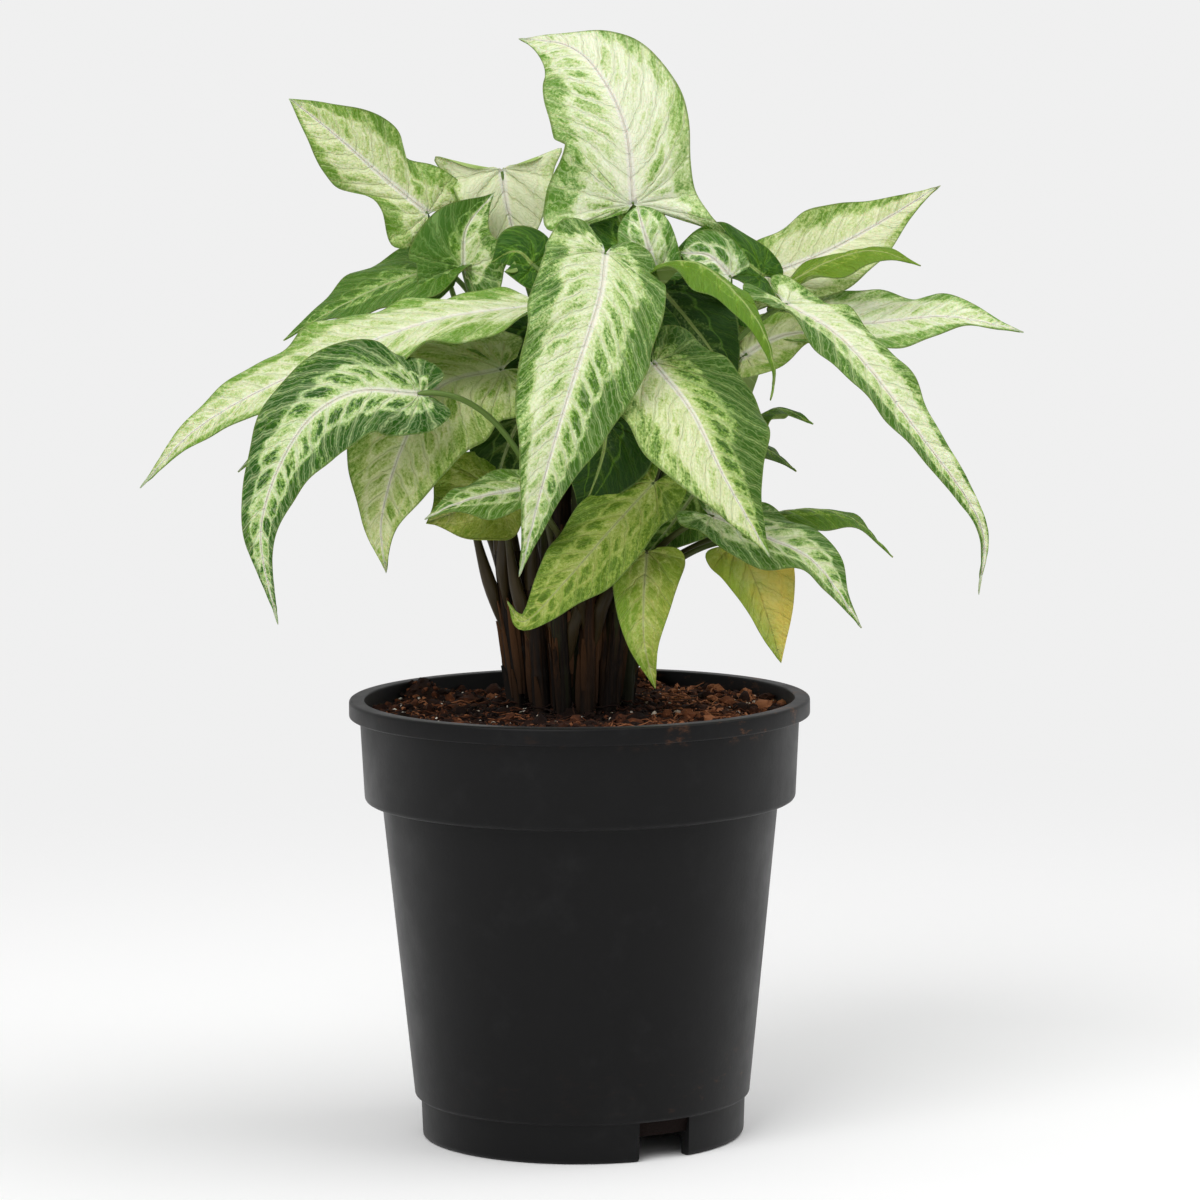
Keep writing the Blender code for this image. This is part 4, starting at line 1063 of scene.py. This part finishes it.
def build_petiole(root, end, arrival, settings):
    """Rings of a petiole: a sheath that clasps the cane, then a slender grooved stalk."""
    start, leaving, clasp = root
    reach = np.linalg.norm(end - start)
    first = start + leaving * PETIOLE_EASE[0] * reach
    second = end - arrival * PETIOLE_EASE[1] * reach
    shares = np.linspace(0, 1, PETIOLE_RINGS)[:, None]
    line = ((1 - shares) ** 3 * start + 3 * (1 - shares) ** 2 * shares * first
            + 3 * (1 - shares) * shares ** 2 * second + shares ** 3 * end)
    below = 0.0
    if clasp is not None:
        line = np.vstack([clasp, (clasp + start) / 2 + 0.3 * unit((start - clasp) * (1, 1, 0)), line])
        below = np.linalg.norm(start - clasp)
    line, span = smooth_line(line, PETIOLE_RINGS)
    slender = settings.petiole / MM
    heights = np.linspace(0, span, PETIOLE_RINGS) - below
    radii = slender * (1.12 - 0.22 * np.maximum(heights, 0) / span)
    radii += (SHEATH[0] - slender) * np.exp(-(heights / SHEATH[1]) ** 2)
    radii *= np.clip(1.0 + heights / (1.25 * SHEATH_REACH), 0.2, 1.0)
    radii[-1] *= 0.5
    angles = 2 * np.pi * np.arange(PETIOLE_SIDES) / PETIOLE_SIDES
    groove = 1 - 0.22 * np.exp(-((angles - np.pi) / 0.5) ** 2)
    return tube_points(line, radii[:, None] * groove, PETIOLE_SIDES), heights


class SYNGONIUM_OT_build_leaves(bpy.types.Operator):
    """Builds every leaf: a veined and quilted blade grown together with its petiole"""
    bl_idname = "syngonium.build_leaves"
    bl_label = "Build the leaves"

    def execute(self, context):
        settings = context.scene.syngonium_leaves
        looks = [leaf_upper_material(settings), leaf_under_material(settings),
                 petiole_material(settings)]
        roots = petiole_roots()
        stalk = tube_faces(PETIOLE_RINGS, PETIOLE_SIDES)
        for number, row in enumerate(LEAVES + YOUNG_LEAVES):
            name, _, shape, face, bend, tint, midrib = row
            outlines = LEAF_OUTLINES.get(name, (None, None))
            blade, kinds, normal, forward = build_blade(midrib, shape, face, bend, settings,
                                                        number + 1, outlines)
            rise = math.radians(bend[2])
            arrival = math.cos(rise) * forward + math.sin(rise) * normal
            end = midrib[0] + forward * STALK_OVERLAP
            rings, heights = build_petiole(roots[name], end, arrival, settings)
            round_stalk = turned([(1, height + STALK_SHIFT * number) for height in heights],
                                 PETIOLE_SIDES)
            upward = [(height, 0, number) for height in heights for _ in range(PETIOLE_SIDES)]
            points, faces, flat, grid = joined([
                blade, (rings.reshape(-1, 3), stalk, round_stalk.reshape(-1, 3), upward)])
            *tones, uneven, clear = (*tint, 0, 0, 0)[:6]
            tones = np.tile(np.array(tones, float), (len(points), 1))
            tones[:, 0] -= uneven * np.sign(grid[:, 1]) * np.minimum(1, 4 * np.abs(grid[:, 1]))
            packed = ["leaf_" + name] if number < len(LEAVES) else ()
            new_piece(name + "_leaf", points, faces, looks, "leaf", packed,
                      kinds + [2] * len(stalk), blade_flat=flat, blade_grid=grid,
                      blade_tint=tones, clear_middle=np.full(len(points), clear))
        return {"FINISHED"}


# ---------------------------------------------------------------- leaf substances
def leaf_upper_material(settings):
    """Waxy upper side of the blade: cream veins, green patches between the side veins, a pale
    collecting vein, a darker mottled band outside it, and a satin skin."""
    made, node, shader = new_material("Waxy variegated leaf blade", IOR=1.42,
                                      Specular_IOR_Level=0.26, Subsurface_Weight=0.10,
                                      Subsurface_Scale=0.0008)
    spacing = settings.vein_spacing / MM
    grid = node("Attribute", out=1, attribute_name="blade_grid")
    flat = node("Attribute", out=1, attribute_name="blade_flat")
    tint, _, _, ageing = node("Attribute", out=None, attribute_name="blade_tint")
    clear = node("Attribute", out=2, attribute_name="clear_middle")
    fan, across, seed = node("SeparateXYZ", grid, out=None)
    along, out, toward_tip = node("SeparateXYZ", flat, out=None)
    green_share, depth, yellowness = node("SeparateColor", tint, out=None)
    side_share = node("ABSOLUTE", across)
    offset = node("MULTIPLY", seed, 13.7)

    # Clouds of five sizes, in millimetres.
    place = node("CombineXYZ", along, out, offset)
    broad, wander, blotches, ripple, speckle = (
        node("MapRange", node("TexNoise", place, 1 / size, detail, rough), 0.28, 0.72, **LINEAR)
        for size, detail, rough in ((14.2857, 2.0, 0.6), (7.6923, 2.0, 0.6), (5.0, 3.0, 0.6),
                                    (1.6667, 2.0, 0.6), (0.8, 4.0, 0.7)))

    # The side veins wander. The finest net of veins is drawn 1.3 mm wide, coarser than it is,
    # because it would not show otherwise.
    fan = node("ADD", fan, node("MULTIPLY", node("SUBTRACT", wander, 0.5), 0.28),
               node("MULTIPLY", node("SUBTRACT", ripple, 0.5), 0.10))
    off_vein = node("PINGPONG", fan, 0.5)
    halo = node("MapRange", off_vein, node("MapRange", side_share, 0.05, 0.9, 0.24, 0.15), 0.03)
    vein = node("MapRange", off_vein, node("MapRange", side_share, 0.05, 0.9, 0.095, 0.060), 0.015)
    minor = node("PINGPONG", node("ADD", node("MULTIPLY", fan, 3.0), 0.5), 0.5)
    minor = node("MULTIPLY", node("MapRange", minor, 0.15, 0.03),
                 node("MapRange", side_share, 0.20, 0.60))
    cell_place = node("CombineXYZ", node("MULTIPLY", fan, spacing / 1.3077),
                      node("MULTIPLY", out, 1 / 2.0), offset)
    islands = node("SeparateColor", node("TexVoronoi", cell_place, 1.0, out=1))
    cells = node("TexVoronoi", cell_place, 1.0, feature="DISTANCE_TO_EDGE")
    net = node("MapRange", cells, 0.12, 0.02)

    # Clouds drawn out between the side veins: their sizes along the blade and across it, in mm.
    patches, tufts, streaks = (
        node("MapRange", node("TexNoise", node(
            "CombineXYZ", node("MULTIPLY", fan, spacing / size), node("MULTIPLY", out, 1 / reach),
            shift), 1.0, detail, rough), 0.28, 0.72, **LINEAR)
        for size, reach, shift, detail, rough in (
            (8.5, 18.1818, offset, 1.0, 0.5), (4.5333, 5.8824, offset, 2.0, 0.5),
            (1.13333, 3.3333, node("ADD", offset, 5.0), 4.0, 0.6)))

    # The midrib narrows towards the tip, and is narrower on green and on yellow leaves.
    rib_width = node("MULTIPLY", node("MapRange", toward_tip, 0.0, 1.0, 1.05, 0.35),
                     node("MapRange", green_share, 0.5, 0.9, 1.0, 0.50),
                     node("MapRange", yellowness, 0.5, 1.0, 1.0, 0.55))
    rib_reach = node("DIVIDE", node("ABSOLUTE", out), rib_width)
    rib = node("MapRange", rib_reach, 1.5, 0.70)
    rib_line = node("MapRange", rib_reach, 0.40, 0.10)

    # The collecting vein, and how far each place lies outside it.
    collar = node("ADD", 0.71, node("MULTIPLY", green_share, -0.42),
                  node("MULTIPLY", toward_tip, 0.24), node("MULTIPLY", patches, -0.12),
                  node("MULTIPLY", wander, 0.12), node("MapRange", off_vein, 0.0, 0.5, 0.0, 0.05))
    from_collar = node("SUBTRACT", side_share, collar)
    border = node("MapRange", node("ABSOLUTE", from_collar), 0.050, 0.006)
    beyond = node("MapRange", from_collar, -0.07, 0.15)
    edge = node("MapRange", side_share, 0.962, 0.988)

    # How green each place is: patches inside the collecting vein, a band outside it, and a grain.
    inner = node("ADD", node("MULTIPLY", patches, 0.80), node("MULTIPLY", tufts, 0.55), -0.12)
    inner = node("MULTIPLY", node("MapRange", side_share, 0.04, 0.34),
                 node("MapRange", from_collar, 0.02, -0.12), node("MapRange", off_vein, 0.02, 0.30),
                 node("SUBTRACT", 1.0, clear), inner)
    outer = node("ADD", 0.42, node("MULTIPLY", tufts, 0.44), node("MULTIPLY", patches, 0.38))
    outer = node("MULTIPLY", beyond, outer, node("MapRange", off_vein, 0.0, 0.2, 0.75, 1.0),
                 node("MapRange", yellowness, 0.3, 0.9, 1.0, 0.55))
    grain = node("ADD", node("MULTIPLY", streaks, 0.20), node("MULTIPLY", speckle, 0.42),
                 node("MULTIPLY", islands, 0.18))
    field = node("ADD", node("MULTIPLY", inner, 0.62), node("MULTIPLY", outer, 0.62), grain, -0.17)
    above = node("ADD", field, green_share, -1.0)
    thin = node("MapRange", above, -0.44, 0.02)
    full = node("MapRange", above, -0.16, 0.26)
    core = node("MapRange", above, node("MULTIPLY_ADD", beyond, -0.08, 0.04), 0.36)

    # Tones of the parts. Each leaf has its own yellowness, and broad patches of it are cooler.
    cool = node("MULTIPLY", broad, node("SUBTRACT", 1.0, yellowness))
    cream = node("Mix", yellowness, "#F6FAE2", "#D8DE92")
    pale = node("Mix", yellowness, "#CBE09C", "#ADBD54")
    mid = node("Mix", yellowness, node("Mix", cool, "#7AAA2E", "#5F993E"), "#759824")
    deep = node("Mix", yellowness, node("Mix", cool, "#2B5A02", "#1D520A"), "#365804")
    vein_tone = node("ADD", 0.40, node("MULTIPLY", yellowness, 0.45))
    vein_tone = node("Mix", node("MapRange", green_share, 0.62, 0.95),
                     node("Mix", vein_tone, cream, pale), mid)
    lit = node("MULTIPLY", beyond, node("MapRange", green_share, 0.62, 0.90, 0.45, 0.0))
    vein_tone = node("Mix", lit, vein_tone, "#A9CC66")
    rib_tone = node("Mix", node("MapRange", green_share, 0.60, 0.95), settings.midrib, "#A9C06A")
    rib_tone = node("Mix", node("MapRange", yellowness, 0.5, 1.0), rib_tone, "#BFC984")
    gold = node("MapRange", node("ADD", across, wander), -0.5, 1.5)
    gold = node("Mix", gold, "#E6CE5C", "#9DB43C")

    # Each tone is laid over the ones before it: how much of it, and the tone.
    base = cream
    for share, tone in (
            (thin, pale),
            (full, mid),
            (node("MULTIPLY", core, depth), deep),
            (node("MULTIPLY", halo, node("MapRange", side_share, 0.0, 0.95, 0.50, 0.16)), vein_tone),
            (node("MULTIPLY", vein, node("MapRange", side_share, 0.0, 0.95, 0.34, 0.40)), vein_tone),
            (node("MULTIPLY", minor, node("MapRange", beyond, 0.0, 1.0, 0.10, 0.26)), vein_tone),
            (node("MULTIPLY", net, node("MapRange", beyond, 0.0, 1.0, 0.22, 0.16)), vein_tone),
            # Painted shade: a depth above 1 darkens the whole blade of a leaf deep in the crown.
            (node("MapRange", depth, 1.0, 1.5, 0.0, 0.70), "#15300A"),
            (node("MULTIPLY", border, 0.34), vein_tone),
            (node("MULTIPLY", rib, 0.80), rib_tone),
            (node("MULTIPLY", rib_line, 0.26), "#B3A083"),
            (node("MapRange", toward_tip, 0.90, 1.0, 0.0, 0.55), mid),
            (node("MULTIPLY", edge, 0.70), "#67803A"),
            (node("MULTIPLY", ageing, node("MapRange", blotches, 0.1, 0.9, 0.6, 1.0)), gold)):
        base = node("Mix", share, base, tone)
    height = node("ADD", node("MULTIPLY", speckle, 0.25), node("MULTIPLY", vein, -0.8),
                  node("MULTIPLY", net, -0.30), node("MULTIPLY", border, -0.4),
                  node("MULTIPLY", rib_line, -0.8))
    wire(shader, Base_Color=base, Roughness=node("MapRange", speckle, 0.1, 0.9, 0.36, 0.48),
         Normal=node("Bump", 0.8, 0.0004, None, height))
    return made


def leaf_under_material(settings):
    """Matte underside: pale olive with raised veins that are paler still."""
    made, node, shader = new_material("Matte leaf underside", Roughness=0.62, IOR=1.4,
                                      Specular_IOR_Level=0.25)
    grid = node("Attribute", out=1, attribute_name="blade_grid")
    flat = node("Attribute", out=1, attribute_name="blade_flat")
    tint = node("Attribute", attribute_name="blade_tint")
    fan, _, seed = node("SeparateXYZ", grid, out=None)
    along, out, _ = node("SeparateXYZ", flat, out=None)
    green_share, _, yellowness = node("SeparateColor", tint, out=None)
    clouds = node("TexNoise", node("CombineXYZ", along, out, seed), 1 / 4.0, 4.0, 0.65)
    vein = node("MapRange", node("PINGPONG", fan, 0.5), 0.02, 0.09, 1.0, 0.0)
    rib = node("MapRange", node("ABSOLUTE", out), 0.5, 1.1, 1.0, 0.0)
    raised = node("MAXIMUM", vein, rib)
    base = node("Mix", green_share, settings.underside, "#57722E")
    base = node("Mix", node("MULTIPLY", yellowness, 0.6), base, "#7E9C30")
    base = node("Mix", node("MULTIPLY", clouds, 0.55), base, "#A9BE78")
    base = node("Mix", node("MULTIPLY", raised, 0.40), base, "#B9C98A")
    wire(shader, Base_Color=base, Normal=node("Bump", 0.5, 0.0004, None, raised))
    return made


def petiole_material(settings):
    """Fleshy leaf stalk: pale green with fine lengthwise streaks, browner in its sheath."""
    made, node, shader = new_material("Fleshy leaf stalk", Roughness=0.45, IOR=1.42,
                                      Specular_IOR_Level=0.35)
    flat = node("Attribute", out=1, attribute_name="blade_flat")
    grid = node("Attribute", out=1, attribute_name="blade_grid")
    fine = settings.petiole / MM / 0.4091
    size = node("VectorMath", flat, (fine, fine, 1 / 16.6667), operation="MULTIPLY")
    streaks = node("TexNoise", size, 1.0, 4.0, 0.6)
    base = node("Mix", streaks, "#4C6829", settings.stalk)
    old = node("Mix", streaks, "#1A120A", "#4C3A20")
    low = node("MapRange", node("SeparateXYZ", grid), 10.0, 52.0, 0.97, 0.0)
    wire(shader, Base_Color=node("Mix", low, base, old),
         Normal=node("Bump", 0.3, 0.0003, None, streaks))
    return made


# ---------------------------------------------------------------- stage
CAMERA_PLACE = (0.0, -1.5759, 0.3367)
CAMERA_PITCH = 6.686       # degrees downward
CAMERA_YAW = 0.217         # degrees towards +X
CAMERA_ROLL = -0.388
EVEN_BACKDROP = 0.87       # the backdrop's tone to the camera, where 1 is white
BACKDROP_STEPS = 24


def stage_material(settings):
    """Seamless studio paper: lifted to an even near-white for the camera only, so that it keeps
    the shadow round the pot and throws no more light on the plant."""
    made, node, shader = new_material("Seamless studio paper", Roughness=0.95)
    ending = shader.outputs[0].links[0].to_socket
    seen = node("LightPath")
    wire(shader, Base_Color=node("Mix", seen, settings.floor, [settings.camera_lift] * 3))
    away = node("VectorMath", node("NewGeometry"), operation="LENGTH")
    away = node("MULTIPLY", node("MapRange", away, 0.22, 0.75), seen)
    even = node("Emission", "#FFFFFF", EVEN_BACKDROP)
    fill_socket(ending, node("MixShader", away, shader.outputs[0], even))
    return made


class SYNGONIUM_OT_build_stage(bpy.types.Operator):
    """Sets the plain pale floor and backdrop, the soft studio light and the camera"""
    bl_idname = "syngonium.build_stage"
    bl_label = "Build the stage"

    def execute(self, context):
        settings = context.scene.syngonium_stage
        scene = context.scene
        self.add_floor(settings)
        self.add_lights(settings)
        world = bpy.data.worlds.new("studio_light")
        world.use_nodes = True
        world.node_tree.nodes.clear()
        node = partial(add_node, world.node_tree)
        both = node("MixShader", node("LightPath"), node("Background", "#FFFFFF", settings.ambient),
                    node("Background", "#FFFFFF", 1.0))
        node("OutputWorld", both, out=None)
        scene.world = world
        camera = bpy.data.cameras.new("camera")
        camera.lens = settings.focal_length
        camera.sensor_width = 36.0
        holder = new_object("camera", camera)
        turn = (Matrix.Rotation(math.radians(-CAMERA_YAW), 4, "Z")
                @ Matrix.Rotation(math.radians(90 - CAMERA_PITCH), 4, "X")
                @ Matrix.Rotation(math.radians(CAMERA_ROLL), 4, "Z"))
        holder.matrix_world = Matrix.Translation(CAMERA_PLACE) @ turn
        scene.camera = holder
        scene.view_settings.view_transform = "Standard"
        return {"FINISHED"}

    @staticmethod
    def add_floor(settings):
        """A wide floor that curves up into a backdrop."""
        bend, depth, height, half = 1.2, 3.0, 4.5, 6.0
        profile = [(-4.0, 0.0), (depth, 0.0)]
        for angle in np.radians(np.linspace(0, 90, BACKDROP_STEPS + 1))[1:]:
            profile.append((depth + bend * math.sin(angle), bend * (1 - math.cos(angle))))
        profile.append((depth + bend, height))
        points = [(side, y, z) for y, z in profile for side in (-half, half)]
        faces = [(2 * i, 2 * i + 1, 2 * i + 3, 2 * i + 2) for i in range(len(profile) - 1)]
        paper = new_mesh("paper_backdrop", points, faces, [stage_material(settings)])
        floor = new_object("paper_backdrop", paper)

    @staticmethod
    def add_lights(settings):
        """A large soft lamp in front at the upper left, and a second one above."""
        for name, place, size, energy in (("key_lamp", (-0.75, -1.35, 1.6), 1.3, settings.key),
                                          ("top_lamp", (1.0, -0.1, 1.7), 1.6, settings.fill)):
            lamp = bpy.data.lights.new(name, "AREA")
            lamp.shape = "SQUARE"
            lamp.size = size
            lamp.energy = energy
            holder = new_object(name, lamp)
            toward = Vector((0.0, 0.0, 0.16)) - Vector(place)
            holder.rotation_euler = toward.to_track_quat("-Z", "Y").to_euler()
            holder.location = place


# ---------------------------------------------------------------- sidebar
class SYNGONIUM_PT_sidebar(bpy.types.Panel):
    """Lists what can be built, in order"""
    bl_idname = "SYNGONIUM_PT_sidebar"
    bl_label = "Potted syngonium"
    bl_space_type = "VIEW_3D"
    bl_region_type = "UI"
    bl_category = "Syngonium"

    def draw(self, context):
        for name, _, operator in STEPS:
            box = self.layout.box()
            box.operator(operator.bl_idname)
            group = getattr(context.scene, name)
            for field in group.__annotations__:
                box.prop(group, field)


STEPS = (
    ("syngonium_pot", PotSettings, SYNGONIUM_OT_build_pot),
    ("syngonium_soil", SoilSettings, SYNGONIUM_OT_build_soil),
    ("syngonium_stems", StemSettings, SYNGONIUM_OT_build_stems),
    ("syngonium_leaves", LeafSettings, SYNGONIUM_OT_build_leaves),
    ("syngonium_stage", StageSettings, SYNGONIUM_OT_build_stage),
)


def register():
    for name, group, operator in STEPS:
        bpy.utils.register_class(group)
        setattr(bpy.types.Scene, name, bpy.props.PointerProperty(type=group))
        bpy.utils.register_class(operator)
    bpy.utils.register_class(SYNGONIUM_PT_sidebar)


def unregister():
    bpy.utils.unregister_class(SYNGONIUM_PT_sidebar)
    for name, group, operator in reversed(STEPS):
        bpy.utils.unregister_class(operator)
        delattr(bpy.types.Scene, name)
        bpy.utils.unregister_class(group)


def main():
    register()
    bpy.ops.syngonium.build_pot()
    bpy.ops.syngonium.build_soil()
    bpy.ops.syngonium.build_stems()
    bpy.ops.syngonium.build_leaves()
    bpy.ops.syngonium.build_stage()


if __name__ == "__main__":
    main()
